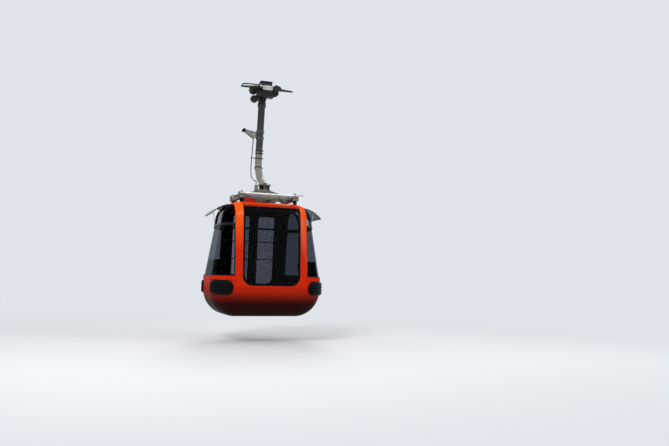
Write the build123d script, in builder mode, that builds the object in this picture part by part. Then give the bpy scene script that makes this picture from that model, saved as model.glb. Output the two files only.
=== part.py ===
from build123d import *
import os
from math import cos, pi, radians, sin, tan

# A small four-seat gondola cabin with its rope grip, hanger and roof frame.
# Millimetres, +Z up. The origin is the centre of the rope inside the grip. +X is the way the
# rope runs, -Y is the side with the fixed window and +Y is the side with the doors.

os.makedirs("parts", exist_ok=True)

# Driving dimensions of the cabin
rope_to_roof = 2130          # from the rope's centre down to the top of the roof
roof_to_header = 60          # roof panel's edge, where the curve leaves the top
header_height = 34
roof_to_transom = 400
roof_to_sill = 1280
sill_to_window_foot = 160
sill_to_tub_foot = 690
belt_half_length = 970
belt_half_width = 735
corner_radius = 430          # corners of the plan
end_lean = 9.0               # the ends lean in by this many degrees
side_lean = 3.5
roof_radius = 300
tub_radius = 440
wall = 38                    # tub, pillars and roof
pane = 8
pane_set_in = 12             # the panes lie this far behind the pillars' faces
seat_gap = 0.3               # clearance of a piece that sits in its seat
window_half_width = 500
window_corner = 165
pillar_width = 125
pillar_reach = 330           # the pillars' top ends stop this far from the middle
belt_rail_height = 70
belt_rail_proud = 9
transom_height = 34
rib_offset = 320             # roof ribs beside each vent opening
rib_width = 30
floor_thickness = 36
floor_above_foot = 110       # the floor's top over the tub's underside

# Corner bumpers
bumper_height = 245
bumper_drop = 75             # below the sill
bumper_proud = 45
bumper_from_x = 745
bumper_from_y = 360
bumper_rib = 9
bumper_rib_count = 3

# Vent flaps
flap_length = 345
flap_width = 624
flap_thickness = 6
flap_crown = 28
flap_angle = 30.0            # how far an open flap hangs below level
flap_hinge_turn = 54.5       # place of the hinge on the roof's edge curve, degrees above level
flap_rod_diameter = 12
stay_diameter = 9
stay_inset = 20              # foot of a stay behind the transom's outer face
stay_end_play = 1.9

# Benches
bench_top_over_floor = 415
bench_depth = 400
bench_thickness = 62
bench_half_width = 560
back_height = 440
back_thickness = 55
back_half_width = 470
back_corner = 24
bench_leg = 60

# Door leaves, outside the wall on the +Y side
leaf_gap = 14                # between the wall and the leaf
leaf_thickness = 34
leaf_width = 532
leaf_meeting_gap = 3
leaf_window_from = 66        # the leaf's window starts this far from the meeting edge
leaf_window_width = 350
leaf_window_corner = 120
leaf_top_turn = 40.0         # the leaf ends this many degrees up the roof's edge curve
leaf_foot_turn = 50.0        # and this many down the tub's curve
leaf_travel = 420
door_corner = 120            # lower corners of the doorway
doorway_from_y = 350
leaf_bar_diameter = 18
leaf_bar_low = 320           # the guard bars over the sill
leaf_bar_high = 650
leaf_bar_bite = 8            # how far a bar's ends run into the leaf
leaf_bar_in = 1
leaf_pane_in = 6
leaf_corner = 30
leaf_top_rail = 40
leaf_hanger_places = (80, 250)
leaf_hanger_plate = 8
leaf_hanger_width = 60
leaf_shoe_turn = 2.5         # the runner shoe keeps this angle to both ends of the rail's band
rail_half_length = 720
rail_from_turn = 45.5
rail_to_turn = 53.5
rail_depth = 34
rail_wall = 5
rail_slot = 20
rail_foot_places = (-640, -240, 200, 600)
rail_foot_width = 40
sill_plate_from = 120
sill_plate_height = 10

# Roof frame
mount_from_end = 287         # the mounts stand this far in from the ends of the roof's form
mount_from_side = 305
mount_diameter = 66          # rubber mounts between roof and frame
mount_height = 68
mount_rib = 5
housing_diameter = 130       # domed housings over the mounts
housing_height = 84
dome_height = 38
beam_past_mount = 50
beam_over_roof = 165         # top of the long beams over the roof
beam_height = 44
beam_flange = 46
beam_plate = 7
belly_half_length = 290      # deeper middle of each beam
belly_slope = 60
belly_depth = 70
tail_length = 92             # thin plate beyond the right end of the near beam
cross_width = 76
cross_height = 44
spine_half_width = 62
spine_apex_half = 110
spine_rise = 92              # apex of the spine above the beams' tops
spine_plate = 9
spine_end_height = 40
outrigger_x = 190
outrigger_height = 36
cover_gap = 12
cover_length = 200           # red cover of the door drive
cover_width = 110
cover_height = 66
cover_corner = 14

# Hanger
tube_diameter = 128
tube_wall = 9
head_offset = 372            # the tube's head stands out sideways by this much
bow_offset = 512
bow_over_foot = 367
knee_offset = 330
knee_over_foot = 150
foot_offset = 24
foot_overrun = 60            # the tube is cut level at its foot from a longer one
foot_height = 111            # from the spine's top to the tube's cut end
bow_radius = 240
knee_radius = 300
pin_drop = 88                # hanger pin below the rope
pin_diameter = 56
pin_play = 0.1
eye_diameter = 148
neck_width = 118
collar_height = 74
collar_wall = 12
collar_top_drop = 168
band_drops = (1010, 1062, 1250)
band_height = 16
band_wall = 6
flange_size = 216
flange_share = 0.7
flange_thickness = 20
foot_wall = 16
foot_right = 108             # the base plate reaches this far to the right and left
foot_left = 176
foot_box_from = 4            # an open box stands right of the damper
foot_box_depth = 84
cable_box_width = 58         # and the cable's end box left of it
cable_box_depth = 56
cable_box_height = 76
damper_diameter = 74
damper_rib = 8
damper_rib_count = 5

# Door lever on the hanger, and the cable that runs down from it
lever_reach = 312
lever_drop = 700
lever_plate_rise = 48
lever_foot_drop = 850
lever_thickness = 12
lever_width = 46
lever_plate_foot = 20
lever_bite = 6
lever_cable_stand = 60
cable_stand = 56
roller_diameter = 60
roller_width = 32
roller_bore = 18
cable_diameter = 16
cable_end_play = 0.6         # between its cut end and the box on the foot
cable_drop_in = 80           # its last run drops straight into that box
cable_clip_share = 0.31      # where the clip holds the cable, as a share of its length
clip_wall = 7
clip_height = 20

# Grip
rope_diameter = 40
body_half_length = 148
body_from_y = 30
body_to_y = 202
body_top = 62
body_foot = -118
cheek_half_length = 88
cheek_gap = 6                # between the hanger's head and each cheek
cheek_thickness = 26
cheek_top = 44
cheek_web = 34
cheek_rim = 30
guide_arm = 40
jaw_half_length = 150
jaw_wall = 34
jaw_split = 2
wheel_diameter = 158
wheel_width = 46
wheel_offset_x = 204
wheel_offset_y = 238
wheel_rise = 20
tyre_thickness = 20
axle_diameter = 34
axle_play = 0.1
guide_diameter = 138
guide_x = -182
guide_rise = -142
guide_plate = 18
tongue_reach = 484
tongue_wall = 9
tongue_tip_wall = 3
horn_diameter = 12
horn_rise = 54
horn_reach = 462
spring_diameter = 84
spring_wire = 14
spring_turns = 7
spring_core_bite = 2         # the core runs this far into the coils
spring_x = 52
spring_rise = 108
plate_half_length = 112
plate_thickness = 12
front_half_length = 92
front_height = 82
front_thickness = 9
running_gap = 6
jaw_foot_y = 24
horn_y = 0
spring_from_y = 36
spring_length = 154
axle_plate = 16
axle_end = 8
hub_wall = 16
web_half = 9
tyre_lip = 3
pin_end = 12

# Levels worked out from the driving dimensions
roof_z = -rope_to_roof
panel_edge_z = roof_z - roof_to_header
header_z = panel_edge_z - header_height
transom_z = roof_z - roof_to_transom
sill_z = roof_z - roof_to_sill
window_foot_z = sill_z - sill_to_window_foot
tub_foot_z = sill_z - sill_to_tub_foot
floor_top_z = tub_foot_z + floor_above_foot
top_half_length = belt_half_length - roof_to_sill * tan(radians(end_lean))
top_half_width = belt_half_width - roof_to_sill * tan(radians(side_lean))
mount_x = top_half_length - mount_from_end
mount_y = top_half_width - mount_from_side
beam_half_length = mount_x + beam_past_mount
beam_top_z = roof_z + beam_over_roof
spine_top_z = beam_top_z + spine_rise
foot_drop = -spine_top_z - foot_height
knee_drop = foot_drop - knee_over_foot
bow_drop = foot_drop - bow_over_foot
pillar_from = window_half_width
pillar_to = pillar_from + pillar_width
reach = 2 * belt_half_length


def body_form(inset):
    """The cabin's outer form, drawn in by inset all round."""
    with BuildPart() as form:
        with BuildSketch(Plane.XY.offset(sill_z)):
            RectangleRounded(
                2 * (belt_half_length - inset), 2 * (belt_half_width - inset), corner_radius - inset
            )
        with BuildSketch(Plane.XY.offset(roof_z - inset)):
            RectangleRounded(
                2 * (top_half_length - inset), 2 * (top_half_width - inset), corner_radius - inset
            )
        loft(ruled=True)
        with BuildSketch(Plane.XY.offset(sill_z)):
            RectangleRounded(
                2 * (belt_half_length - inset), 2 * (belt_half_width - inset), corner_radius - inset
            )
        extrude(amount=-(sill_to_tub_foot - inset))
        fillet(form.edges().group_by(Axis.Z)[-1], roof_radius - inset)
        fillet(form.edges().group_by(Axis.Z)[0], tub_radius - inset)
    return form.part


def shell_between(outer_inset, inner_inset):
    """The closed skin between two insets of the cabin's form."""
    with BuildPart() as skin:
        add(forms[outer_inset])
        add(forms[inner_inset], mode=Mode.SUBTRACT)
    return skin.part


def block(x_range, y_range, z_range):
    """A block between the given limits, used as a cutting region."""
    with BuildPart() as region:
        with Locations(
            (sum(x_range) / 2, sum(y_range) / 2, sum(z_range) / 2)
        ):
            Box(x_range[1] - x_range[0], y_range[1] - y_range[0], z_range[1] - z_range[0])
    return region.part


def window_prism(half_width, foot_z, top_z, corner, y_range):
    """A prism along Y with rounded lower corners, for the side window and the door opening."""
    with BuildPart() as prism:
        with BuildSketch(Plane.XZ.offset(-y_range[1])):
            with BuildLine():
                FilletPolyline(
                    (-half_width, top_z), (-half_width, foot_z), (half_width, foot_z),
                    (half_width, top_z), radius=corner,
                )
                Line((half_width, top_z), (-half_width, top_z))
            make_face()
        extrude(amount=y_range[1] - y_range[0])
    return prism.part


def save(piece, name):
    """Labels a finished piece and writes it to its own file."""
    piece.label = name
    export_step(piece, f"parts/{name}.step")


# Cabin panels are cut from skins between two insets of one form
insets = (0, wall, pane_set_in, pane_set_in + pane, -belt_rail_proud, wall + seat_gap)
forms = {inset: body_form(inset) for inset in insets}
wall_shell = shell_between(0, wall)
pane_shell = shell_between(pane_set_in, pane_set_in + pane)

# Tub: one moulding below the sill, open to the window on one side and to the doors on the other
near = (-reach, 0)
far = (0, reach)
with BuildPart() as tub:
    add(wall_shell)
    add(block((-reach, reach), (-reach, reach), (tub_foot_z - 1, sill_z)), mode=Mode.INTERSECT)
    for side in (-1, 1):
        ends = sorted((side * pillar_to, side * reach))
        add(
            block(ends, (-reach, reach), (sill_z - belt_rail_height, sill_z + 1)),
            mode=Mode.SUBTRACT,
        )
    add(
        window_prism(window_half_width, window_foot_z, header_z, window_corner, near),
        mode=Mode.SUBTRACT,
    )
    add(
        window_prism(window_half_width, floor_top_z, header_z, door_corner, (doorway_from_y, reach)),
        mode=Mode.SUBTRACT,
    )
save(tub.part, "tub")

# Belt rails: the orange band that wraps each end from pillar to pillar
with BuildPart() as belt_rails:
    add(shell_between(-belt_rail_proud, wall))
    add(
        block((-reach, reach), (-reach, reach), (sill_z - belt_rail_height + seat_gap, sill_z)),
        mode=Mode.INTERSECT,
    )
    add(
        block((-pillar_to - seat_gap, pillar_to + seat_gap), (-reach, reach), (2 * sill_z, 0)),
        mode=Mode.SUBTRACT,
    )
save(belt_rails.part, "belt_rails")

# Pillars: four, each from the sill over the roof's edge to its mount on the roof
pillar_places = {
    "pillar_near_left": (-1, -1),
    "pillar_near_right": (1, -1),
    "pillar_far_left": (-1, 1),
    "pillar_far_right": (1, 1),
}
for name, (x_side, y_side) in pillar_places.items():
    x_range = sorted((x_side * pillar_from, x_side * pillar_to))
    y_range = sorted((y_side * pillar_reach, y_side * reach))
    with BuildPart() as pillar:
        add(wall_shell)
        add(block(x_range, y_range, (sill_z, 0)), mode=Mode.INTERSECT)
    save(pillar.part, name)

# Roof panel, notched round the pillars' ends
with BuildPart() as roof_panel:
    add(wall_shell)
    add(block((-reach, reach), (-reach, reach), (panel_edge_z, 0)), mode=Mode.INTERSECT)
    for x_side, y_side in pillar_places.values():
        add(
            block(
                sorted((x_side * (pillar_from - seat_gap), x_side * (pillar_to + seat_gap))),
                sorted((y_side * (pillar_reach - seat_gap), y_side * reach)),
                (sill_z, 0),
            ),
            mode=Mode.SUBTRACT,
        )
save(roof_panel.part, "roof_panel")

# Headers: the thin band over the side window and over the doors
with BuildPart() as side_headers:
    add(wall_shell)
    add(
        block(
            (-pillar_from + seat_gap, pillar_from - seat_gap),
            (-reach, reach),
            (header_z, panel_edge_z - seat_gap),
        ),
        mode=Mode.INTERSECT,
    )
save(side_headers.part, "side_headers")

# Fixed side window: one curved pane that follows the roof's edge
with BuildPart() as side_window:
    add(pane_shell)
    add(
        window_prism(
            window_half_width - seat_gap, window_foot_z + seat_gap, header_z - seat_gap,
            window_corner - seat_gap, near,
        ),
        mode=Mode.INTERSECT,
    )
save(side_window.part, "side_window")

# Lower end panes: one pane wraps each end of the cabin from pillar to pillar
end_pane_top = transom_z - transom_height / 2 - seat_gap
for name, x_side in {"end_pane_left": -1, "end_pane_right": 1}.items():
    with BuildPart() as end_pane:
        add(pane_shell)
        add(
            block(
                sorted((x_side * (pillar_to + seat_gap), x_side * reach)),
                (-reach, reach),
                (sill_z + seat_gap, end_pane_top),
            ),
            mode=Mode.INTERSECT,
        )
    save(end_pane.part, name)

# Vent frames: a transom with two ribs that rise to the roof, at each end
with BuildPart() as vent_frames:
    add(wall_shell)
    add(
        block(
            (-reach, reach), (-reach, reach),
            (transom_z - transom_height / 2, panel_edge_z - seat_gap),
        ),
        mode=Mode.INTERSECT,
    )
    add(
        block((-pillar_to - seat_gap, pillar_to + seat_gap), (-reach, reach), (2 * sill_z, 0)),
        mode=Mode.SUBTRACT,
    )
    openings = (
        (-reach, -rib_offset - rib_width / 2),
        (-rib_offset + rib_width / 2, rib_offset - rib_width / 2),
        (rib_offset + rib_width / 2, reach),
    )
    for y_range in openings:
        add(
            block((-reach, reach), y_range, (transom_z + transom_height / 2, 0)),
            mode=Mode.SUBTRACT,
        )
save(vent_frames.part, "vent_frames")

# Upper corner panes, between the pillars and the ribs
with BuildPart() as corner_panes:
    add(pane_shell)
    add(
        block(
            (-reach, reach), (-reach, reach),
            (transom_z + transom_height / 2 + seat_gap, panel_edge_z - 2 * seat_gap),
        ),
        mode=Mode.INTERSECT,
    )
    add(
        block((-pillar_to - seat_gap, pillar_to + seat_gap), (-reach, reach), (2 * sill_z, 0)),
        mode=Mode.SUBTRACT,
    )
    inner_edge = rib_offset + rib_width / 2 + seat_gap
    add(block((-reach, reach), (-inner_edge, inner_edge), (2 * sill_z, 0)), mode=Mode.SUBTRACT)
save(corner_panes.part, "corner_panes")

# Vent flaps: hinged on a rod under the roof's edge
edge_curve_z = roof_z - roof_radius
end_tan = tan(radians(end_lean))
edge_curve_x = top_half_length + roof_radius * end_tan - roof_radius / cos(radians(end_lean))
rod_distance = roof_radius + flap_rod_diameter / 2 + seat_gap
hinge_x = edge_curve_x + rod_distance * cos(radians(flap_hinge_turn))
hinge_z = edge_curve_z + rod_distance * sin(radians(flap_hinge_turn))
flap_drop = flap_length * sin(radians(flap_angle))
flap_run = flap_length * cos(radians(flap_angle))
with BuildPart() as vent_flaps:
    for x_side in (-1, 1):
        hinge = (x_side * hinge_x, hinge_z)
        edge = (x_side * (hinge_x + flap_run), hinge_z - flap_drop)
        with BuildSketch(Plane.XZ.offset(-flap_width / 2)):
            with BuildLine():
                upper = SagittaArc(hinge, edge, x_side * flap_crown)
                lower_hinge = (hinge[0], hinge[1] - flap_thickness)
                lower_edge = (edge[0], edge[1] - flap_thickness)
                lower = SagittaArc(lower_hinge, lower_edge, x_side * flap_crown)
                Line(hinge, lower_hinge)
                Line(edge, lower_edge)
            make_face()
            with Locations(hinge):
                Circle(flap_rod_diameter / 2)
        extrude(amount=flap_width)
save(vent_flaps.part, "vent_flaps")

# Flap stays: two thin rods hold each flap away from the transom
stay_foot_z = transom_z + transom_height / 2
stay_foot_x = top_half_length + (roof_z - stay_foot_z) * end_tan - stay_inset
stay_top_x = hinge_x + flap_run / 2 + flap_crown * sin(radians(flap_angle))
stay_top_z = hinge_z - flap_drop / 2 + flap_crown * cos(radians(flap_angle)) - flap_thickness
with BuildPart() as flap_stays:
    for x_side in (-1, 1):
        for y_side in (-1, 1):
            stay_y = y_side * (rib_offset - rib_width)
            low = Vector(x_side * stay_foot_x, stay_y, stay_foot_z)
            high = Vector(x_side * stay_top_x, stay_y, stay_top_z)
            way = (high - low).normalized()
            with BuildSketch(Plane(origin=low + way * stay_end_play, z_dir=way)):
                Circle(stay_diameter / 2)
            extrude(amount=(high - low).length - 2 * stay_end_play)
save(flap_stays.part, "flap_stays")

# Floor: a thick plate that fills the tub's foot
with BuildPart() as floor:
    add(forms[wall + seat_gap])
    add(
        block((-reach, reach), (-reach, reach), (floor_top_z - floor_thickness, floor_top_z)),
        mode=Mode.INTERSECT,
    )
save(floor.part, "floor")

# Benches: a seat pan across each end on a closed front box
bench_top_z = floor_top_z + bench_top_over_floor
with BuildPart() as benches:
    add(forms[wall + seat_gap])
    add(
        block(
            (-reach, reach),
            (-bench_half_width, bench_half_width),
            (bench_top_z - bench_thickness, bench_top_z),
        ),
        mode=Mode.INTERSECT,
    )
    bench_front = belt_half_length - wall - bench_depth
    add(
        block((-bench_front, bench_front), (-reach, reach), (2 * sill_z, 0)),
        mode=Mode.SUBTRACT,
    )
    for x_side in (-1, 1):
        leg_x = x_side * (bench_front + bench_leg)
        for y_side in (-1, 1):
            with BuildSketch(Plane.XY.offset(floor_top_z)):
                with Locations((leg_x, y_side * (bench_half_width - 2 * bench_leg))):
                    RectangleRounded(bench_leg, bench_leg, bench_leg / 6)
            extrude(amount=bench_top_z - bench_thickness - floor_top_z)
save(benches.part, "benches")

# Backrests: low moulded backs that follow the leaning ends
with BuildPart() as backrests:
    back_foot_x = belt_half_length - wall - back_thickness
    back_lean = back_height * end_tan
    for x_side in (-1, 1):
        with BuildSketch(Plane.XZ.offset(-back_half_width)):
            with BuildLine():
                FilletPolyline(
                    (x_side * reach, bench_top_z + seat_gap),
                    (x_side * reach, bench_top_z + back_height),
                    (x_side * (back_foot_x - back_lean), bench_top_z + back_height),
                    (x_side * back_foot_x, bench_top_z + seat_gap),
                    radius=back_corner, close=True,
                )
            make_face()
        extrude(amount=2 * back_half_width)
    add(forms[wall + seat_gap], mode=Mode.INTERSECT)
save(backrests.part, "backrests")

# Corner bumpers: ribbed rubber blocks that wrap the four corners of the tub
bumper_top_z = sill_z - bumper_drop
bumper_foot_z = bumper_top_z - bumper_height
with BuildPart() as corner_bumpers:
    with BuildSketch(Plane.XY.offset(bumper_foot_z)):
        RectangleRounded(
            2 * (belt_half_length + bumper_proud), 2 * (belt_half_width + bumper_proud),
            corner_radius + bumper_proud,
        )
        RectangleRounded(
            2 * (belt_half_length + seat_gap), 2 * (belt_half_width + seat_gap),
            corner_radius + seat_gap, mode=Mode.SUBTRACT,
        )
    extrude(amount=bumper_height)
    for index in range(bumper_rib_count):
        groove_z = bumper_foot_z + (index + 1) * bumper_height / (bumper_rib_count + 1)
        with BuildSketch(Plane.XY.offset(groove_z - bumper_rib / 2)):
            RectangleRounded(
                2 * (belt_half_length + 2 * bumper_proud), 2 * (belt_half_width + 2 * bumper_proud),
                corner_radius + 2 * bumper_proud,
            )
            RectangleRounded(
                2 * (belt_half_length + bumper_proud - bumper_rib),
                2 * (belt_half_width + bumper_proud - bumper_rib),
                corner_radius + bumper_proud - bumper_rib, mode=Mode.SUBTRACT,
            )
        extrude(amount=bumper_rib, mode=Mode.SUBTRACT)
    add(
        block((-bumper_from_x, bumper_from_x), (-reach, reach), (2 * sill_z, 0)),
        mode=Mode.SUBTRACT,
    )
    add(
        block((-reach, reach), (-bumper_from_y, bumper_from_y), (2 * sill_z, 0)),
        mode=Mode.SUBTRACT,
    )
save(corner_bumpers.part, "corner_bumpers")


# The curves of the cabin's cross-section on the door side
side_curve_z = roof_z - roof_radius
side_tan = tan(radians(side_lean))
side_curve_y = top_half_width + roof_radius * side_tan - roof_radius / cos(radians(side_lean))
tub_curve_y = belt_half_width - tub_radius
tub_curve_z = tub_foot_z + tub_radius


def side_band(inner_out, outer_out, top_turn, foot_turn):
    """A band parallel to the cabin's side, in a sketch on a plane across the cabin."""
    with BuildLine() as outline:
        ends = []
        for out in (inner_out, outer_out):
            upper = CenterArc(
                (side_curve_y, side_curve_z), roof_radius + out, side_lean, top_turn - side_lean
            )
            lower = CenterArc((tub_curve_y, tub_curve_z), tub_radius + out, -foot_turn, foot_turn)
            belt = (belt_half_width + out, sill_z)
            Line(upper @ 0, belt)
            Line(belt, lower @ 1)
            ends.append((upper @ 1, lower @ 0))
        Line(ends[0][0], ends[1][0])
        Line(ends[0][1], ends[1][1])
    make_face(outline.edges())


def roof_sector(inner_out, outer_out, from_turn, to_turn, mode=Mode.ADD):
    """A short piece of band round the roof's edge curve, in a sketch across the cabin."""
    with BuildLine() as outline:
        ends = []
        for out in (inner_out, outer_out):
            piece = CenterArc(
                (side_curve_y, side_curve_z), roof_radius + out, from_turn, to_turn - from_turn
            )
            ends.append((piece @ 0, piece @ 1))
        Line(ends[0][0], ends[1][0])
        Line(ends[0][1], ends[1][1])
    make_face(outline.edges(), mode=mode)


def leaf_window(x_side, play):
    """The outline of a leaf's window with one large lower corner, drawn in by a clearance."""
    from_x = x_side * (leaf_window_from + play)
    to_x = x_side * (leaf_window_from + leaf_window_width - play)
    top_z = header_z - leaf_top_rail - play
    foot_z = window_foot_z + play
    with BuildLine() as outline:
        FilletPolyline(
            (from_x, top_z), (from_x, foot_z), (to_x, foot_z), (to_x, top_z),
            radius=[leaf_corner - play, leaf_corner - play, leaf_window_corner - play,
                    leaf_corner - play],
            close=True,
        )
    make_face(outline.edges())


# Door leaves: two outside leaves with their windows cut and two guard bars across each window
leaf_middle = leaf_gap + leaf_thickness / 2
leaf_shoe_half = rail_depth / 2 - rail_wall - seat_gap
for name, x_side in {"left": -1, "right": 1}.items():
    with BuildPart() as leaf:
        with BuildSketch(Plane.YZ.offset(x_side * leaf_meeting_gap)):
            side_band(leaf_gap, leaf_gap + leaf_thickness, leaf_top_turn, leaf_foot_turn)
        extrude(amount=x_side * leaf_width)
        with BuildSketch(Plane.XZ.offset(-reach)):
            leaf_window(x_side, 0)
        extrude(amount=reach, mode=Mode.SUBTRACT)
        for bar_z in (sill_z + leaf_bar_low, sill_z + leaf_bar_high):
            bar_y = belt_half_width + leaf_gap + leaf_bar_diameter / 2 + leaf_bar_in
            bar_y -= (bar_z - sill_z) * side_tan
            with BuildSketch(Plane.YZ.offset(x_side * (leaf_window_from - leaf_bar_bite))):
                with Locations((bar_y, bar_z)):
                    Circle(leaf_bar_diameter / 2)
            extrude(amount=x_side * (leaf_window_width + 2 * leaf_bar_bite))
        for hanger_x in leaf_hanger_places:
            with BuildSketch(Plane.YZ.offset(x_side * hanger_x)):
                roof_sector(
                    leaf_middle - leaf_hanger_plate / 2, leaf_middle + leaf_hanger_plate / 2,
                    leaf_top_turn - 1, (rail_from_turn + rail_to_turn) / 2,
                )
                roof_sector(
                    leaf_middle - leaf_shoe_half, leaf_middle + leaf_shoe_half,
                    rail_from_turn + leaf_shoe_turn, rail_to_turn - leaf_shoe_turn,
                )
            extrude(amount=x_side * leaf_hanger_width)
    save(leaf.part, f"door_leaf_{name}")
    with BuildPart() as leaf_pane:
        with BuildSketch(Plane.YZ.offset(x_side * leaf_meeting_gap)):
            pane_outer = leaf_gap + leaf_thickness - leaf_pane_in
            side_band(pane_outer - pane, pane_outer, leaf_top_turn, leaf_foot_turn)
        extrude(amount=x_side * leaf_width)
        with BuildSketch(Plane.XZ.offset(-reach)):
            leaf_window(x_side, seat_gap)
        extrude(amount=reach, mode=Mode.INTERSECT)
    save(leaf_pane.part, f"door_pane_{name}")

# Door rail: a slotted channel round the roof's edge curve, on short feet
with BuildPart() as door_rail:
    with BuildSketch(Plane.YZ.offset(-rail_half_length)):
        rail_in = leaf_middle - rail_depth / 2
        rail_out = leaf_middle + rail_depth / 2
        roof_sector(rail_in, rail_out, rail_from_turn, rail_to_turn)
        roof_sector(
            rail_in + rail_wall, rail_out - rail_wall, rail_from_turn + 1, rail_to_turn - 1,
            mode=Mode.SUBTRACT,
        )
        roof_sector(
            leaf_middle - rail_slot / 2, leaf_middle + rail_slot / 2, rail_from_turn - 1,
            rail_from_turn + 2, mode=Mode.SUBTRACT,
        )
    extrude(amount=2 * rail_half_length)
    for foot_x in rail_foot_places:
        with BuildSketch(Plane.YZ.offset(foot_x)):
            roof_sector(seat_gap, rail_in + rail_wall / 2, rail_from_turn + 1, rail_to_turn - 1)
        extrude(amount=rail_foot_width)
save(door_rail.part, "door_rail")

# Sill plate: the tread in the doorway
with BuildPart() as sill_plate:
    add(forms[0])
    add(
        block(
            (-window_half_width + door_corner, window_half_width - door_corner),
            (doorway_from_y + sill_plate_from, reach),
            (floor_top_z + seat_gap, floor_top_z + sill_plate_height),
        ),
        mode=Mode.INTERSECT,
    )
save(sill_plate.part, "sill_plate")

# Mounts of the roof frame: a rubber foot and a domed housing at each corner
mount_places = [(x_side * mount_x, y_side * mount_y) for x_side in (-1, 1) for y_side in (-1, 1)]
housing_foot_z = roof_z + mount_height
housing_top_z = housing_foot_z + housing_height
with BuildPart() as frame_mounts:
    for mount_place in mount_places:
        with BuildSketch(Plane.XY.offset(roof_z + seat_gap)):
            with Locations(mount_place):
                Circle(mount_diameter / 2)
        extrude(amount=mount_height - 2 * seat_gap)
    for rib_level in (0.3, 0.7):
        with BuildSketch(Plane.XY.offset(roof_z + rib_level * mount_height)):
            with Locations(*mount_places):
                Circle(mount_diameter / 2 + mount_rib)
        extrude(amount=mount_rib, both=True)
save(frame_mounts.part, "frame_mounts")

with BuildPart() as mount_housings:
    for place_x, place_y in mount_places:
        with BuildSketch(Plane.XY.offset(housing_foot_z)):
            with Locations((place_x, place_y)):
                Circle(housing_diameter / 2)
        extrude(amount=housing_height)
        dome_plane = Plane(
            origin=(place_x, place_y, housing_top_z), x_dir=(1, 0, 0), z_dir=(0, -1, 0)
        )
        with BuildSketch(dome_plane):
            with BuildLine():
                dome = EllipticalCenterArc(
                    (0, 0), housing_diameter / 2, dome_height, start_angle=0, arc_size=90
                )
                Polyline(dome @ 1, (0, 0), dome @ 0)
            make_face()
        revolve(axis=Axis((place_x, place_y, 0), (0, 0, 1)))
save(mount_housings.part, "mount_housings")

# Long beams: a channel on each side with a deeper belly, outside the housings
beam_web_y = mount_y + housing_diameter / 2 + seat_gap
for name, y_side in {"frame_beam_near": -1, "frame_beam_far": 1}.items():
    with BuildPart() as beam:
        with BuildSketch(Plane.XZ.offset(-y_side * beam_web_y)):
            with BuildLine():
                Polyline(
                    (-beam_half_length, beam_top_z),
                    (beam_half_length, beam_top_z),
                    (beam_half_length, beam_top_z - beam_height),
                    (belly_half_length + belly_slope, beam_top_z - beam_height),
                    (belly_half_length, beam_top_z - beam_height - belly_depth),
                    (-belly_half_length, beam_top_z - beam_height - belly_depth),
                    (-belly_half_length - belly_slope, beam_top_z - beam_height),
                    (-beam_half_length, beam_top_z - beam_height),
                    close=True,
                )
            make_face()
        extrude(amount=-y_side * beam_plate)
        with BuildSketch(Plane.XY.offset(beam_top_z)):
            with Locations((0, y_side * (beam_web_y - beam_flange / 2))):
                Rectangle(2 * beam_half_length, beam_flange)
            with Locations(*mount_places):
                Circle(housing_diameter / 2 + seat_gap, mode=Mode.SUBTRACT)
        extrude(amount=-beam_plate)
        if y_side < 0:
            with BuildSketch(Plane.XY.offset(beam_top_z - beam_plate)):
                with Locations((beam_half_length + tail_length / 2, -beam_web_y - beam_plate / 2)):
                    Rectangle(tail_length, beam_flange)
            extrude(amount=beam_plate)
    save(beam.part, name)

# Cross members: a box tube between the housings at each end of the frame
with BuildPart() as frame_cross:
    cross_half = mount_y - housing_diameter / 2 - seat_gap
    with BuildSketch(Plane.XZ.offset(-cross_half)):
        for x_side in (-1, 1):
            with Locations((x_side * mount_x, housing_foot_z + cross_height / 2)):
                RectangleRounded(cross_width, cross_height, spine_plate / 2)
                Rectangle(
                    cross_width - 2 * beam_plate, cross_height - 2 * beam_plate,
                    mode=Mode.SUBTRACT,
                )
    extrude(amount=2 * cross_half)
save(frame_cross.part, "frame_cross")

# Spine: a fabricated beam with a raised middle that carries the hanger's foot
cross_top_z = housing_foot_z + cross_height
with BuildPart() as frame_spine:
    with BuildSketch(Plane.XZ.offset(-spine_half_width)):
        spine_half = mount_x + cross_width / 2
        with BuildLine():
            Polyline(
                (-spine_half, cross_top_z + seat_gap),
                (-spine_half, cross_top_z + spine_end_height),
                (-spine_apex_half, spine_top_z),
                (spine_apex_half, spine_top_z),
                (spine_half, cross_top_z + spine_end_height),
                (spine_half, cross_top_z + seat_gap),
                close=True,
            )
        make_face()
    extrude(amount=2 * spine_half_width)
    with BuildSketch(Plane.XZ.offset(-spine_half_width + spine_plate)):
        with BuildLine():
            Polyline(
                (-spine_half - 1, cross_top_z + seat_gap - 1),
                (-spine_half - 1, cross_top_z + spine_end_height - spine_plate),
                (-spine_apex_half, spine_top_z - spine_plate),
                (spine_apex_half, spine_top_z - spine_plate),
                (spine_half + 1, cross_top_z + spine_end_height - spine_plate),
                (spine_half + 1, cross_top_z + seat_gap - 1),
                close=True,
            )
        make_face()
    extrude(amount=2 * (spine_half_width - spine_plate), mode=Mode.SUBTRACT)
save(frame_spine.part, "frame_spine")

# Outriggers: two box tubes that tie the spine to the long beams
with BuildPart() as frame_outriggers:
    for y_side in (-1, 1):
        with BuildSketch(Plane.XZ.offset(-y_side * (spine_half_width + seat_gap))):
            for x_side in (-1, 1):
                with Locations((x_side * outrigger_x, beam_top_z - beam_plate - outrigger_height)):
                    Rectangle(outrigger_height, outrigger_height)
                    Rectangle(
                        outrigger_height - 2 * beam_plate, outrigger_height - 2 * beam_plate,
                        mode=Mode.SUBTRACT,
                    )
        extrude(amount=-y_side * (beam_web_y - spine_half_width - 2 * seat_gap))
save(frame_outriggers.part, "frame_outriggers")

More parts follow.
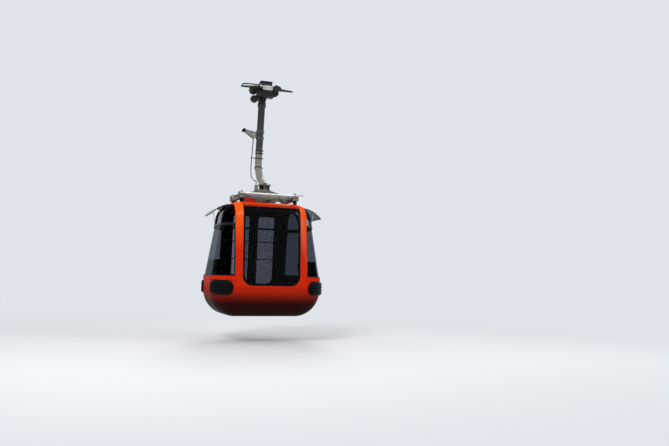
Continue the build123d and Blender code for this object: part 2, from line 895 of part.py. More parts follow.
# Cover of the door drive: a low red box on the roof
with BuildPart() as drive_cover:
    with BuildSketch(Plane.XY.offset(roof_z + seat_gap)):
        with Locations((-mount_x + mount_diameter / 2 + cover_gap + cover_length / 2, -mount_y)):
            RectangleRounded(cover_length, cover_width, cover_corner)
    extrude(amount=cover_height)
    fillet(drive_cover.edges().group_by(Axis.Z)[-1], cover_corner / 2)
save(drive_cover.part, "drive_cover")

# Hanger tube: straight down from the pin, then bent in to the middle of the frame
foot_slope = (foot_drop - knee_drop) / (knee_offset - foot_offset)
with BuildPart() as hanger_tube:
    with BuildLine() as tube_path:
        FilletPolyline(
            (0, head_offset, -collar_top_drop - seat_gap),
            (0, bow_offset, -bow_drop),
            (0, knee_offset, -knee_drop),
            (0, foot_offset - foot_overrun, -foot_drop - foot_overrun * foot_slope),
            radius=[bow_radius, knee_radius],
        )
    with BuildSketch(Plane(origin=tube_path.wires()[0] @ 0, z_dir=tube_path.wires()[0] % 0)):
        Circle(tube_diameter / 2)
        Circle(tube_diameter / 2 - tube_wall, mode=Mode.SUBTRACT)
    sweep(path=tube_path.wires()[0])
    add(
        block((-reach, reach), (-reach, reach), (2 * sill_z, -foot_drop + seat_gap)),
        mode=Mode.SUBTRACT,
    )
save(hanger_tube.part, "hanger_tube")

# Hanger head: an eye round the grip's pin with a socket for the tube
pin_z = -pin_drop
with BuildPart() as hanger_head:
    with BuildSketch(Plane.XZ.offset(-head_offset - tube_diameter / 2)):
        with Locations((0, pin_z)):
            Circle(eye_diameter / 2)
    extrude(amount=tube_diameter)
    with BuildSketch(Plane.XY.offset(-collar_top_drop - collar_height)):
        with Locations((0, head_offset)):
            Circle(tube_diameter / 2 + collar_wall)
    extrude(amount=collar_height)
    with BuildSketch(Plane.XY.offset(-collar_top_drop)):
        with Locations((0, head_offset)):
            RectangleRounded(neck_width, tube_diameter, collar_wall)
    extrude(amount=collar_top_drop - pin_drop)
    with BuildSketch(Plane.XZ.offset(-head_offset - tube_diameter)):
        with Locations((0, pin_z)):
            Circle(pin_diameter / 2 + pin_play)
    extrude(amount=2 * tube_diameter, mode=Mode.SUBTRACT)
    tube_top = tube_path.wires()[0] @ 0
    with BuildSketch(Plane(origin=tube_top, z_dir=tube_path.wires()[0] % 0)):
        Circle(tube_diameter / 2 + seat_gap)
    extrude(amount=2 * collar_height, mode=Mode.SUBTRACT)
save(hanger_head.part, "hanger_head")


def along_tube(drop):
    """A plane across the hanger tube at a drop below the rope, on its upper straight run."""
    share = (drop - collar_top_drop) / (bow_drop - collar_top_drop)
    middle = head_offset + share * (bow_offset - head_offset)
    return Plane(origin=(0, middle, -drop), z_dir=tube_path.wires()[0] % 0)


# Foot casting: a flange on an open box, over a base plate that also carries the cable's end box
foot_top_z = -foot_drop
foot_base_top_z = spine_top_z + foot_wall
with BuildPart() as foot_casting:
    with BuildSketch(Plane.XY.offset(spine_top_z + seat_gap)):
        with Locations(((foot_right - foot_left) / 2, 0)):
            RectangleRounded(foot_right + foot_left, 2 * spine_half_width, foot_wall / 2)
    extrude(amount=foot_wall - seat_gap)
    with BuildSketch(Plane.XY.offset(foot_top_z - flange_thickness)):
        RectangleRounded(flange_size, flange_size * flange_share, foot_wall)
    extrude(amount=flange_thickness)
    with BuildSketch(Plane.XY.offset(foot_base_top_z)):
        with Locations(((foot_box_from + foot_right - foot_wall) / 2, 0)):
            Rectangle(foot_right - foot_wall - foot_box_from, foot_box_depth)
        with Locations(((foot_box_from + foot_right - foot_wall) / 2, -foot_wall)):
            Rectangle(
                foot_right - foot_box_from - 2 * foot_wall, foot_box_depth, mode=Mode.SUBTRACT
            )
    extrude(amount=foot_top_z - flange_thickness - foot_base_top_z)
    with BuildSketch(Plane.XY.offset(foot_base_top_z)):
        with Locations((-foot_left + cable_box_width / 2, 0)):
            RectangleRounded(cable_box_width, cable_box_depth, foot_wall / 2)
    extrude(amount=cable_box_height)
save(foot_casting.part, "foot_casting")

# Foot damper: a ribbed rubber barrel between the base and the flange, left of the box
damper_foot_z = foot_base_top_z + seat_gap
damper_x = foot_box_from - foot_wall / 2 - damper_diameter / 2 - damper_rib
damper_top_z = foot_top_z - flange_thickness - seat_gap
with BuildPart() as foot_damper:
    with BuildSketch(Plane.XY.offset(damper_foot_z)):
        with Locations((damper_x, 0)):
            Circle(damper_diameter / 2)
    extrude(amount=damper_top_z - damper_foot_z)
    for index in range(damper_rib_count):
        share = (index + 0.5) / damper_rib_count
        with BuildSketch(Plane.XY.offset(damper_foot_z + share * (damper_top_z - damper_foot_z))):
            with Locations((damper_x, 0)):
                Circle(damper_diameter / 2 + damper_rib)
        extrude(amount=damper_rib / 2, both=True)
save(foot_damper.part, "foot_damper")

# Door lever: a forked arm on the hanger with its saddle round the tube
lever_y = head_offset + (lever_drop - collar_top_drop) / (bow_drop - collar_top_drop) * (
    bow_offset - head_offset
)
with BuildPart() as door_lever:
    for y_side in (-1, 1):
        arm_from = lever_y + y_side * (roller_width / 2 + running_gap) - (y_side < 0) * lever_thickness
        with BuildSketch(Plane.XZ.offset(-arm_from - lever_thickness)):
            with BuildLine():
                Polyline(
                    (-tube_diameter / 2 + lever_bite, -lever_drop - lever_plate_foot),
                    (-lever_reach, -lever_drop + roller_diameter * 0.3),
                    (-lever_reach, -lever_drop - roller_diameter * 0.3),
                    (-tube_diameter / 2 - lever_cable_stand, -lever_foot_drop),
                    (-tube_diameter / 2 + lever_bite, -lever_foot_drop + lever_width),
                    close=True,
                )
            make_face()
            with BuildLine():
                Polyline(
                    (-tube_diameter / 2 - lever_width / 2, -lever_drop - lever_plate_foot - lever_width / 2),
                    (-lever_reach + 1.6 * roller_diameter, -lever_drop - lever_width / 3),
                    (-tube_diameter / 2 - lever_width / 2, -lever_foot_drop + 1.5 * lever_width),
                    close=True,
                )
            make_face(mode=Mode.SUBTRACT)
            with Locations((-lever_reach, -lever_drop)):
                Circle(roller_diameter * 0.3)
        extrude(amount=lever_thickness)
    with BuildSketch(Plane.XZ.offset(-lever_y - roller_width / 2 - running_gap)):
        with Locations((-lever_reach, -lever_drop)):
            Circle(roller_bore / 2)
    extrude(amount=roller_width + 2 * running_gap)
    for drop in (lever_drop - lever_plate_foot, lever_foot_drop - lever_width):
        with BuildSketch(along_tube(drop)):
            Circle(tube_diameter / 2 + lever_thickness)
        extrude(amount=lever_width)
    with BuildSketch(Plane(origin=tube_top, z_dir=tube_path.wires()[0] % 0)):
        Circle(tube_diameter / 2 + seat_gap)
    extrude(amount=bow_drop - collar_top_drop, mode=Mode.SUBTRACT)
save(door_lever.part, "door_lever")

with BuildPart() as lever_roller:
    with BuildSketch(Plane.XZ.offset(-lever_y - roller_width / 2)):
        with Locations((-lever_reach, -lever_drop)):
            Circle(roller_diameter / 2)
            Circle(roller_bore / 2 + axle_play, mode=Mode.SUBTRACT)
    extrude(amount=roller_width)
    chamfer(lever_roller.edges().filter_by(GeomType.CIRCLE).sort_by(SortBy.RADIUS)[-2:], 4)
save(lever_roller.part, "lever_roller")

# Door cable: from the lever down beside the tube to the foot, held by its clip
cable_x = -tube_diameter / 2 - cable_stand
cable_top_in = roller_width / 2 + running_gap - cable_diameter / 2 - 2 * seat_gap
cable_route = (
    (cable_x - 4, lever_y + cable_top_in, -lever_foot_drop + 8),
    (cable_x - 12, lever_y + 22, -lever_foot_drop - 170),
    (cable_x - 16, lever_y + 54, -lever_foot_drop - 400),
    (cable_x - 18, bow_offset + 2, -bow_drop + 24),
    (cable_x - 30, knee_offset + 92, -knee_drop + 58),
    (cable_x - 40, knee_offset - 130, -knee_drop - 46),
    (
        -foot_left + cable_box_width / 2, cable_box_depth / 4,
        foot_base_top_z + cable_box_height + cable_drop_in,
    ),
    (
        -foot_left + cable_box_width / 2, cable_box_depth / 4,
        foot_base_top_z + cable_box_height + cable_end_play,
    ),
)


def route_radii(points):
    """The largest radius at each corner of a route that its two runs leave room for."""
    radii = []
    for before, corner, after in zip(points, points[1:], points[2:]):
        way_in = Vector(*corner) - Vector(*before)
        way_out = Vector(*after) - Vector(*corner)
        turn = radians(way_in.get_angle(way_out))
        radii.append(0.45 * min(way_in.length, way_out.length) / tan(turn / 2))
    return radii


cable_radii = route_radii(cable_route)
print("door cable radii", [round(radius) for radius in cable_radii])
with BuildPart() as door_cable:
    with BuildLine() as cable_path:
        FilletPolyline(*cable_route, radius=cable_radii)
    cable_wire = cable_path.wires()[0]
    with BuildSketch(Plane(origin=cable_wire @ 0, z_dir=cable_wire % 0)):
        Circle(cable_diameter / 2)
    sweep(path=cable_wire)
cable_section = pi * cable_diameter ** 2 / 4
print("door cable length", round(cable_wire.length), "volume share",
      round(door_cable.part.volume / (cable_section * cable_wire.length), 4))
save(door_cable.part, "door_cable")

# Bands: clamped collars on the tube, and the clip that holds the door cable off it
clip_place = cable_wire @ cable_clip_share
with BuildPart() as tube_bands:
    for drop in band_drops:
        with BuildSketch(along_tube(drop)):
            Circle(tube_diameter / 2 + band_wall)
        extrude(amount=band_height)
    clip_plane = along_tube(-clip_place.Z - clip_height / 2)
    clip_local = clip_plane.to_local_coords(clip_place)
    with BuildSketch(clip_plane):
        Circle(tube_diameter / 2 + band_wall)
    extrude(amount=clip_height)
    with BuildSketch(clip_plane):
        with Locations((clip_local.X, clip_local.Y)):
            Circle(cable_diameter / 2 + clip_wall)
        Circle(clip_wall)
        make_hull()
    extrude(amount=clip_height)
    with BuildSketch(Plane(origin=tube_top, z_dir=tube_path.wires()[0] % 0)):
        Circle(tube_diameter / 2 + seat_gap)
    extrude(amount=bow_drop - collar_top_drop, mode=Mode.SUBTRACT)
    with BuildSketch(Plane(origin=cable_wire @ 0, z_dir=cable_wire % 0)):
        Circle(cable_diameter / 2 + seat_gap)
    sweep(path=cable_wire, mode=Mode.SUBTRACT)
save(tube_bands.part, "tube_bands")

# Grip body: a block beside the rope, with cheeks for the hanger's pin and a guide roller arm
cheek_half_gap = tube_diameter / 2 + cheek_gap
with BuildPart() as grip_body:
    with BuildSketch(Plane.YZ.offset(-body_half_length)):
        with BuildLine():
            Polyline(
                (jaw_split, 0),
                (body_from_y, -jaw_split), (body_from_y, body_foot / 2),
                (body_from_y + jaw_wall, body_foot),
                (body_to_y, body_foot), (body_to_y, body_top),
                (-jaw_wall, body_top), (-jaw_wall, jaw_split), (jaw_split, jaw_split),
                close=True,
            )
        make_face()
    extrude(amount=2 * body_half_length)
    with BuildSketch(Plane.YZ.offset(-cheek_half_length)):
        with BuildLine():
            Polyline(
                (body_to_y - 1, body_top), (body_to_y - 1, body_top - cheek_web),
                (head_offset + cheek_half_gap + cheek_thickness, body_top - cheek_web),
                (head_offset + cheek_half_gap + cheek_thickness, body_top - cheek_web / 2),
                (head_offset + cheek_half_gap, body_top),
                close=True,
            )
        make_face()
    extrude(amount=2 * cheek_half_length)
    for cheek_y in (head_offset - cheek_half_gap - cheek_thickness, head_offset + cheek_half_gap):
        with BuildSketch(Plane.XZ.offset(-cheek_y - cheek_thickness)):
            Rectangle(
                2 * cheek_half_length, 2 * (body_top - cheek_web),
            )
            with Locations((0, pin_z)):
                Circle(pin_diameter / 2 + cheek_rim)
            make_hull()
        extrude(amount=cheek_thickness)
    with BuildSketch(Plane.XZ.offset(-body_to_y)):
        with Locations((guide_x, guide_rise)):
            Circle(axle_diameter)
        with Locations((-body_half_length + guide_arm, body_foot + guide_arm)):
            Circle(guide_arm)
        make_hull()
    extrude(amount=guide_plate)
    with BuildSketch(Plane.YZ.offset(-body_half_length - 1)):
        Circle(rope_diameter / 2)
    extrude(amount=2 * body_half_length + 2, mode=Mode.SUBTRACT)
    with BuildSketch(Plane.XZ.offset(-reach)):
        with Locations((0, pin_z)):
            Circle(pin_diameter / 2 + seat_gap)
    extrude(amount=reach - body_to_y, mode=Mode.SUBTRACT)
save(grip_body.part, "grip_body")

# Moving jaw: closes on the rope from below
jaw_grip_y = body_from_y - seat_gap
with BuildPart() as moving_jaw:
    with BuildSketch(Plane.YZ.offset(-cheek_half_length)):
        with BuildLine():
            Polyline(
                (-jaw_wall, -jaw_split), (jaw_grip_y, -jaw_split),
                (jaw_grip_y, -jaw_wall), (jaw_foot_y, body_foot / 2),
                (-jaw_wall / 2, body_foot / 2), (-jaw_wall, -jaw_wall),
                close=True,
            )
        make_face()
        Circle(rope_diameter / 2, mode=Mode.SUBTRACT)
    extrude(amount=2 * cheek_half_length)
save(moving_jaw.part, "moving_jaw")

# Front plate: the pale cover screwed on the jaw
with BuildPart() as front_plate:
    with BuildSketch(Plane.XZ.offset(jaw_wall + seat_gap)):
        with Locations((0, body_top - front_height / 2)):
            RectangleRounded(2 * front_half_length, front_height, front_thickness)
    extrude(amount=front_thickness)
save(front_plate.part, "front_plate")

# Rope tongues: tapered half shells over the rope, and the guide horn on the left
tongue_from = body_half_length + seat_gap
with BuildPart() as rope_tongues:
    for x_side in (-1, 1):
        tongue_start = Plane(origin=(x_side * tongue_from, 0, 0), z_dir=(x_side, 0, 0))
        tongue_end = Plane(origin=(x_side * tongue_reach, 0, 0), z_dir=(x_side, 0, 0))
        with BuildSketch(tongue_start):
            Circle(rope_diameter / 2 + tongue_wall)
        with BuildSketch(tongue_end):
            Circle(rope_diameter / 2 + tongue_tip_wall)
        loft(ruled=True)
    with BuildSketch(Plane.YZ.offset(-reach)):
        Circle(rope_diameter / 2 + 1)
        with Locations((0, -reach / 2)):
            Rectangle(reach, reach)
    extrude(amount=2 * reach, mode=Mode.SUBTRACT)
    with BuildLine() as horn_path:
        FilletPolyline(
            (-tongue_from, horn_y, horn_rise),
            (-horn_reach + horn_rise / 2, horn_y, horn_rise),
            (-horn_reach, horn_y / 2, (rope_diameter + horn_diameter) / 2 + tongue_tip_wall),
            radius=horn_rise / 4,
        )
    with BuildSketch(Plane(origin=(-tongue_from, horn_y, horn_rise), z_dir=(-1, 0, 0))):
        Circle(horn_diameter / 2)
    sweep(path=horn_path.wires()[0])
save(rope_tongues.part, "rope_tongues")

# Clamp springs: two coils that lie across the grip body
with BuildPart() as clamp_springs:
    for x_side in (-1, 1):
        for index in range(spring_turns):
            share = (index + 0.5) / spring_turns
            coil_y = spring_from_y + share * spring_length
            with Locations(Plane(origin=(x_side * spring_x, coil_y, spring_rise), z_dir=(0, 1, 0))):
                Torus(spring_diameter / 2 - spring_wire / 2, spring_wire / 2)
        with BuildSketch(Plane.XZ.offset(-spring_from_y)):
            with Locations((x_side * spring_x, spring_rise)):
                Circle(spring_diameter / 2 - spring_wire + spring_core_bite)
        extrude(amount=-spring_length)
save(clamp_springs.part, "clamp_springs")

# Friction plate: the flat top on which the drive tyres of a station push
with BuildPart() as friction_plate:
    with BuildSketch(Plane.XY.offset(spring_rise + spring_diameter / 2 + seat_gap)):
        with Locations((0, (body_from_y + body_to_y) / 2)):
            RectangleRounded(2 * plate_half_length, body_to_y - body_from_y, plate_thickness)
    extrude(amount=plate_thickness)
    for x_side in (-1, 1):
        with BuildSketch(Plane.XY.offset(body_top + seat_gap)):
            with Locations((x_side * (plate_half_length - plate_thickness / 2),
                            (body_from_y + body_to_y) / 2)):
                Rectangle(plate_thickness, (body_to_y - body_from_y) / 2)
        extrude(amount=spring_rise + spring_diameter / 2 - body_top)
save(friction_plate.part, "friction_plate")

# Axles of the running wheels and of the guide roller
wheel_places = {"left": (-wheel_offset_x, wheel_rise), "right": (wheel_offset_x, wheel_rise)}
with BuildPart() as wheel_axles:
    for place in wheel_places.values():
        with BuildSketch(Plane.XZ.offset(-body_to_y + axle_plate)):
            with Locations(place):
                Circle(axle_diameter)
            with Locations(((1 if place[0] > 0 else -1) * body_half_length, 0)):
                Rectangle(axle_plate, body_top)
            make_hull()
        extrude(amount=-axle_plate)
        with BuildSketch(Plane.XZ.offset(-body_to_y)):
            with Locations(place):
                Circle(axle_diameter / 2)
        extrude(amount=-(wheel_offset_y + wheel_width / 2 - body_to_y + axle_end))
    with BuildSketch(Plane.XZ.offset(-body_to_y)):
        with Locations((guide_x, guide_rise)):
            Circle(axle_diameter / 2)
    extrude(amount=-(wheel_offset_y + wheel_width / 2 - body_to_y + axle_end))
    add(grip_body.part, mode=Mode.SUBTRACT)
save(wheel_axles.part, "wheel_axles")


def wheel(diameter, place):
    """A wheel with a tyre, a dished web and a hub, its axle along Y."""
    half = wheel_width / 2
    with BuildPart() as made:
        with BuildSketch(Plane.XY):
            with BuildLine():
                Polyline(
                    (axle_diameter / 2 + axle_play, -half),
                    (axle_diameter / 2 + hub_wall, -half),
                    (axle_diameter / 2 + hub_wall, -web_half),
                    (diameter / 2 - tyre_thickness, -web_half),
                    (diameter / 2 - tyre_thickness, -half + tyre_lip),
                    (diameter / 2 - tyre_lip, -half + tyre_lip),
                    (diameter / 2, -half + 2 * tyre_lip),
                    (diameter / 2, half - 2 * tyre_lip),
                    (diameter / 2 - tyre_lip, half - tyre_lip),
                    (diameter / 2 - tyre_thickness, half - tyre_lip),
                    (diameter / 2 - tyre_thickness, web_half),
                    (axle_diameter / 2 + hub_wall, web_half),
                    (axle_diameter / 2 + hub_wall, half),
                    (axle_diameter / 2 + axle_play, half),
                    close=True,
                )
            make_face()
        revolve(axis=Axis.Y)
    with BuildPart() as placed:
        with Locations((place[0], wheel_offset_y, place[1])):
            add(made.part)
    return placed.part


for name, place in wheel_places.items():
    save(wheel(wheel_diameter, place), f"running_wheel_{name}")
save(wheel(guide_diameter, (guide_x, guide_rise)), "guide_roller")

# Hanger pin: carries the hanger's head between the cheeks of the grip
with BuildPart() as hanger_pin:
    pin_from = head_offset - cheek_half_gap - cheek_thickness
    pin_to = head_offset + cheek_half_gap + cheek_thickness
    with BuildSketch(Plane.XZ.offset(-pin_to - pin_end)):
        with Locations((0, pin_z)):
            Circle(pin_diameter / 2)
    extrude(amount=pin_to + 2 * pin_end - pin_from)
    for collar_y in (pin_from - seat_gap - pin_end, pin_to + seat_gap):
        with BuildSketch(Plane.XZ.offset(-collar_y - pin_end)):
            with Locations((0, pin_z)):
                Circle(pin_diameter / 2 + pin_end)
        extrude(amount=pin_end - seat_gap)
save(hanger_pin.part, "hanger_pin")
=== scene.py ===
# %% [markdown]
# A small gondola cabin hangs from a rope in its grip. Its solids were made as CAD parts and packed
# as a fixed frame. This lesson loads that frame, gives every part the finish of the real one, and
# adds the seals, bolts, springs and bumpers that CAD leaves out. All sizes are in metres.

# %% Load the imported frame
import math

import bmesh
import bpy
from mathutils import Matrix, Vector


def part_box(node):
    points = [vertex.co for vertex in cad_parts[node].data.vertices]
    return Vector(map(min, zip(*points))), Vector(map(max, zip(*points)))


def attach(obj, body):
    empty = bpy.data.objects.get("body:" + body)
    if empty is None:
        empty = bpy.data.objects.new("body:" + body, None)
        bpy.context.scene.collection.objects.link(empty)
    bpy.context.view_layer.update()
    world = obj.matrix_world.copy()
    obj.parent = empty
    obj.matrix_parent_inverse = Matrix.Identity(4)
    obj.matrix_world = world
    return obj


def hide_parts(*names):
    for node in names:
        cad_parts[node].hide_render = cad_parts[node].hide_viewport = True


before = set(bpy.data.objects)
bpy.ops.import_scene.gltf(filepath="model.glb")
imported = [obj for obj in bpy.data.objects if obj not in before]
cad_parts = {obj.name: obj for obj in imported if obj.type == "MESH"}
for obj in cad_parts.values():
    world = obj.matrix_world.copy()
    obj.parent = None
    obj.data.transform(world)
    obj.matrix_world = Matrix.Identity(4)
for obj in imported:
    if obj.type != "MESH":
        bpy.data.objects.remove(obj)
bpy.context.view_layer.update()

scene = bpy.context.scene

# %% [markdown]
# The photograph was taken from the left of the cabin, at about the height of its belt rail, with
# the camera tilted a little up. A camera can be aimed by hand or worked out. Four level lines and
# a number of points of the cabin gave this place, and the same points then fall on the same
# pixels of the frame.

# %% Camera at the photograph's viewing angle
photo_width, focal_pixels, sensor_mm = 669, 670, 36
camera_place = (-2.952, -11.725, -3.407)
yaw, pitch, roll = (math.radians(angle) for angle in (20.24, 4.671, 1.271))
ahead = Vector((math.sin(yaw) * math.cos(pitch), math.cos(yaw) * math.cos(pitch), math.sin(pitch)))
level_right = Vector((math.cos(yaw), -math.sin(yaw), 0))
level_up = level_right.cross(ahead)
right = level_right * math.cos(roll) + level_up * math.sin(roll)
up = level_up * math.cos(roll) - level_right * math.sin(roll)
camera = bpy.data.objects.new("camera", bpy.data.cameras.new("camera"))
scene.collection.objects.link(camera)
scene.camera = camera
camera.matrix_world = Matrix.Translation(camera_place) @ Matrix(
    (right, up, -ahead)
).transposed().to_4x4()
camera.data.sensor_width = sensor_mm
camera.data.lens = sensor_mm * focal_pixels / photo_width
camera.data.clip_end = 200
print("lens", round(camera.data.lens, 2), "mm")

# %% [markdown]
# Colours are written as the hex codes that a screen shows. Shaders work in linear light, so one
# function turns a code into linear values. A second adds a shader node with its settings and
# links and gives its outputs, so that each material below reads as a short list of nodes. Two
# more open a material and close it with its bump. The last one wears the edges: a bevel node
# gives the normal of a rounded corner, which differs from the flat one only near an edge.

# %% Helpers for materials
wear_starts, wear_full = 0.97, 0.86  # cosines of 14 and 31 degrees between the two normals


def linear(code):
    """Turns an sRGB hex colour into linear red, green, blue and alpha."""
    values = [int(code[place:place + 2], 16) / 255 for place in (1, 3, 5)]
    return [v / 12.92 if v <= 0.04045 else ((v + 0.055) / 1.055) ** 2.4 for v in values] + [1.0]


def add_node(tree, kind, inputs=None, **settings):
    """Adds a node and gives its outputs; an input that is another's output is linked."""
    node = tree.nodes.new("ShaderNode" + kind)
    for key, value in settings.items():
        if key == "stops":
            ramp = node.color_ramp.elements
            while len(ramp) < len(value):
                ramp.new(0.5)
            for element, (place, code) in zip(ramp, value):
                element.position, element.color = place, linear(code)
        else:
            setattr(node, key, value)
    for key, value in (inputs or {}).items():
        if isinstance(value, bpy.types.NodeSocket):
            tree.links.new(value, node.inputs[key])
        else:
            node.inputs[key].default_value = value
    return node.outputs


def new_surface(name, **values):
    """A material with one Principled shader, its constant values set on the shader itself."""
    material = bpy.data.materials.new(name)
    material.use_nodes = True
    tree = material.node_tree
    for key, value in values.items():
        tree.nodes["Principled BSDF"].inputs[key.replace("_", " ")].default_value = value
    return material, tree, add_node(tree, "TexCoord")["Object"]


def set_surface(material, patterns, height, strength, depth):
    """Links the patterns to the shader, and a height to its bump, the depth in metres."""
    tree = material.node_tree
    bump = add_node(tree, "Bump", {"Strength": strength, "Distance": depth, "Height": height})[0]
    for key, pattern in (patterns | {"Normal": bump}).items():
        tree.links.new(pattern, tree.nodes["Principled BSDF"].inputs[key])
    print(material.name, len(tree.nodes), "nodes")
    return material


def worn_edges(tree, colour, grain, worn, radius=0.0025):
    """Mixes the worn colour in where a face turns a corner, broken up by the grain."""
    rounded = add_node(tree, "Bevel", {"Radius": radius}, samples=4)[0]
    flat = add_node(tree, "NewGeometry")["Normal"]
    same = add_node(tree, "VectorMath", {0: rounded, 1: flat}, operation="DOT_PRODUCT")["Value"]
    edge = add_node(tree, "MapRange", {0: same, 1: wear_starts, 2: wear_full})[0]
    rubbed = add_node(tree, "MapRange", {0: grain, 1: 0.4, 2: 0.6})[0]
    wear = add_node(tree, "Math", {0: edge, 1: rubbed}, operation="MULTIPLY")[0]
    return add_node(tree, "Mix", {0: wear, 6: colour, 7: linear(worn)}, data_type="RGBA")[2]


print("half grey in linear light", round(linear("#808080")[0], 3))

# %% [markdown]
# The tub, pillars, belt rails and door leaves are polyester mouldings sprayed with orange-red
# two-pack coach paint. A painted highlight brightens it to orange towards the tops of the pillars,
# where the sun falls on them. Low down, where the photograph shows it nearly maroon, it darkens as
# painted shade of the tub's downward-facing foot, over the paint's own darker tone there. It wears
# to its dark primer along the edges. A thin coat alone gives it gloss, because a full gloss would
# mirror the white studio and turn it pale. The headers lie in the roof's shade and are painted a
# deeper red, a painted shade. The faces that look into the cabin carry a dark lining, so the shader
# asks of each point whether its face looks away from the middle of the cabin. Clouds of fading are
# a third of a metre wide, and rain streaks 38 mm wide and 625 mm long. Orange peel is really about
# 1 mm, and is drawn at 6 mm so that it shows.

# %% Coach paint
cabin_middle = (0, 0, -3.0)
# The bright orange is a painted highlight for the sunlit tops of the pillars.
orange_highlight, orange_mid, maroon_tone_and_shade = linear("#ff6016"), linear("#c62506"), linear("#1a0302")
lining_colour = linear("#0b0b0c")
# The near-black maroon and the lower two heights: painted shade of the tub's downward-facing foot,
# over the paint's own darker tone.
highlight_top_z, highlight_foot_z, darkening_top_z, darkening_foot_z = -2.15, -3.00, -3.50, -3.90
fade_size, streak_width, streak_length, peel_size = 1 / 3, 1 / 26, 0.625, 0.006
guard_bar_levels, guard_bar_half = (-3.09, -2.76), 0.012
leaf_window_middle, leaf_window_half = 0.241, 0.172


def coach_paint(name, highlight_share, guard_bars=False, body_colour=orange_mid):
    """Orange coach paint outside, with a painted highlight high up and painted shade low down, and
    dark lining inside; a leaf's two guard bars are black.
    """
    material, tree, where = new_surface(
        name, IOR=1.5, Specular_IOR_Level=0.0, Coat_Weight=0.12, Coat_Roughness=0.07,
    )
    along, _, height = add_node(tree, "SeparateXYZ", {0: where})
    # Painted highlight: brighter orange towards the tops, up to the given share.
    top_highlight = add_node(tree, "MapRange", {0: height, 1: highlight_foot_z, 2: highlight_top_z, 4: highlight_share})[0]
    # Painted shade over the paint's darker tone: the colour darkens towards the foot of the tub.
    foot_tone_and_shade = add_node(tree, "MapRange", {
        0: height, 1: darkening_top_z, 2: darkening_foot_z, 4: 0.985,
    }, interpolation_type="SMOOTHSTEP")[0]
    cloud = add_node(tree, "TexNoise", {
        "Vector": where, "Scale": 1 / fade_size, "Detail": 6.0, "Roughness": 0.6,
    })[0]
    streak_place = add_node(tree, "Mapping", {
        "Vector": where, "Scale": (1 / streak_width, 1 / streak_width, 1 / streak_length),
    })[0]
    streaks = add_node(tree, "TexNoise", {"Vector": streak_place, "Scale": 1.0, "Detail": 4.0})[0]
    colour = body_colour
    for share, layer, blend in (
        (top_highlight, orange_highlight, "MIX"), (0.1, cloud, "MULTIPLY"),
        (foot_tone_and_shade, maroon_tone_and_shade, "MIX"), (0.12, streaks, "MULTIPLY"),
    ):
        colour = add_node(
            tree, "Mix", {0: share, 6: colour, 7: layer}, data_type="RGBA", blend_type=blend,
        )[2]
    worn = worn_edges(tree, colour, streaks, "#7c1a08", 0.002)
    from_middle = add_node(tree, "VectorMath", {0: where, 1: cabin_middle}, operation="SUBTRACT")[0]
    facing = add_node(tree, "TexCoord")["Normal"]
    outward = add_node(tree, "VectorMath", {0: from_middle, 1: facing}, operation="DOT_PRODUCT")
    outside = add_node(tree, "Math", {0: outward["Value"], 1: 0.0}, operation="GREATER_THAN")[0]
    colour = add_node(tree, "Mix", {0: outside, 6: lining_colour, 7: worn}, data_type="RGBA")[2]
    if guard_bars:
        from_slot = add_node(tree, "Math", {0: along}, operation="ABSOLUTE")[0]
        in_window = add_node(tree, "Math", {
            0: from_slot, 1: leaf_window_middle, 2: leaf_window_half,
        }, operation="COMPARE")[0]
        lower, upper = (
            add_node(tree, "Math", {0: height, 1: level, 2: guard_bar_half}, operation="COMPARE")[0]
            for level in guard_bar_levels
        )
        either = add_node(tree, "Math", {0: lower, 1: upper}, operation="MAXIMUM")[0]
        is_bar = add_node(tree, "Math", {0: either, 1: in_window}, operation="MULTIPLY")[0]
        colour = add_node(
            tree, "Mix", {0: is_bar, 6: colour, 7: lining_colour}, data_type="RGBA",
        )[2]
    rough = add_node(tree, "MapRange", {0: cloud, 1: 0.3, 2: 0.7, 3: 0.2, 4: 0.36})[0]
    peel = add_node(tree, "TexNoise", {"Vector": where, "Scale": 1 / peel_size, "Detail": 2.0})[0]
    return set_surface(material, {"Base Color": colour, "Roughness": rough}, peel, 0.12, 0.0006)


coach_paint_orange = coach_paint("coach_paint_orange", 1.0)
# The roof gets a third of the painted highlight.
coach_paint_roof = coach_paint("coach_paint_roof", 0.35)
# The headers get no painted highlight and a deeper red body, a painted shade under the roof.
coach_paint_header = coach_paint("coach_paint_header", 0.0, body_colour=linear("#9c2006"))
coach_paint_leaf = coach_paint("coach_paint_leaf", 1.0, guard_bars=True)

# %% [markdown]
# The panes are smoked polycarbonate, thermoformed to the cabin's curve. The vent flaps and the
# side window are the darkest, the door panes the palest, and the wrapped end panes lie between,
# so that two panes in line leave a dark grey of the sky. Wiping leaves them with faint dull
# patches of 200 mm, and forming with waves of 250 mm. Polycarbonate has an IOR of 1.58, but the
# photograph's panes reflect a dark valley where these reflect a white studio, so their IOR is
# matched down until the interior reads as dark as it does there.

# %% Smoked polycarbonate
wiped_size, wave_size = 0.2, 0.25


def smoked(name, tint, ior):
    """Smoked polycarbonate; one pane lets through about the share of light that its tint has."""
    material, tree, where = new_surface(
        name, Base_Color=linear(tint), Transmission_Weight=1.0, IOR=ior,
    )
    wiped = add_node(tree, "TexNoise", {
        "Vector": where, "Scale": 1 / wiped_size, "Detail": 8.0, "Roughness": 0.65,
    })[0]
    dull = add_node(tree, "MapRange", {0: wiped, 1: 0.4, 2: 0.75, 3: 0.01, 4: 0.07})[0]
    waves = add_node(tree, "TexNoise", {"Vector": where, "Scale": 1 / wave_size, "Detail": 1.0})[0]
    return set_surface(material, {"Roughness": dull}, waves, 0.12, 0.004)


smoked_dark = smoked("smoked_polycarbonate_dark", "#63666f", 1.15)
smoked_door = smoked("smoked_polycarbonate_door", "#b9bcc2", 1.2)
smoked_end = smoked("smoked_polycarbonate_end", "#8d9199", 1.03)
smoked_flap = smoked("smoked_polycarbonate_flap", "#4a505a", 1.08)

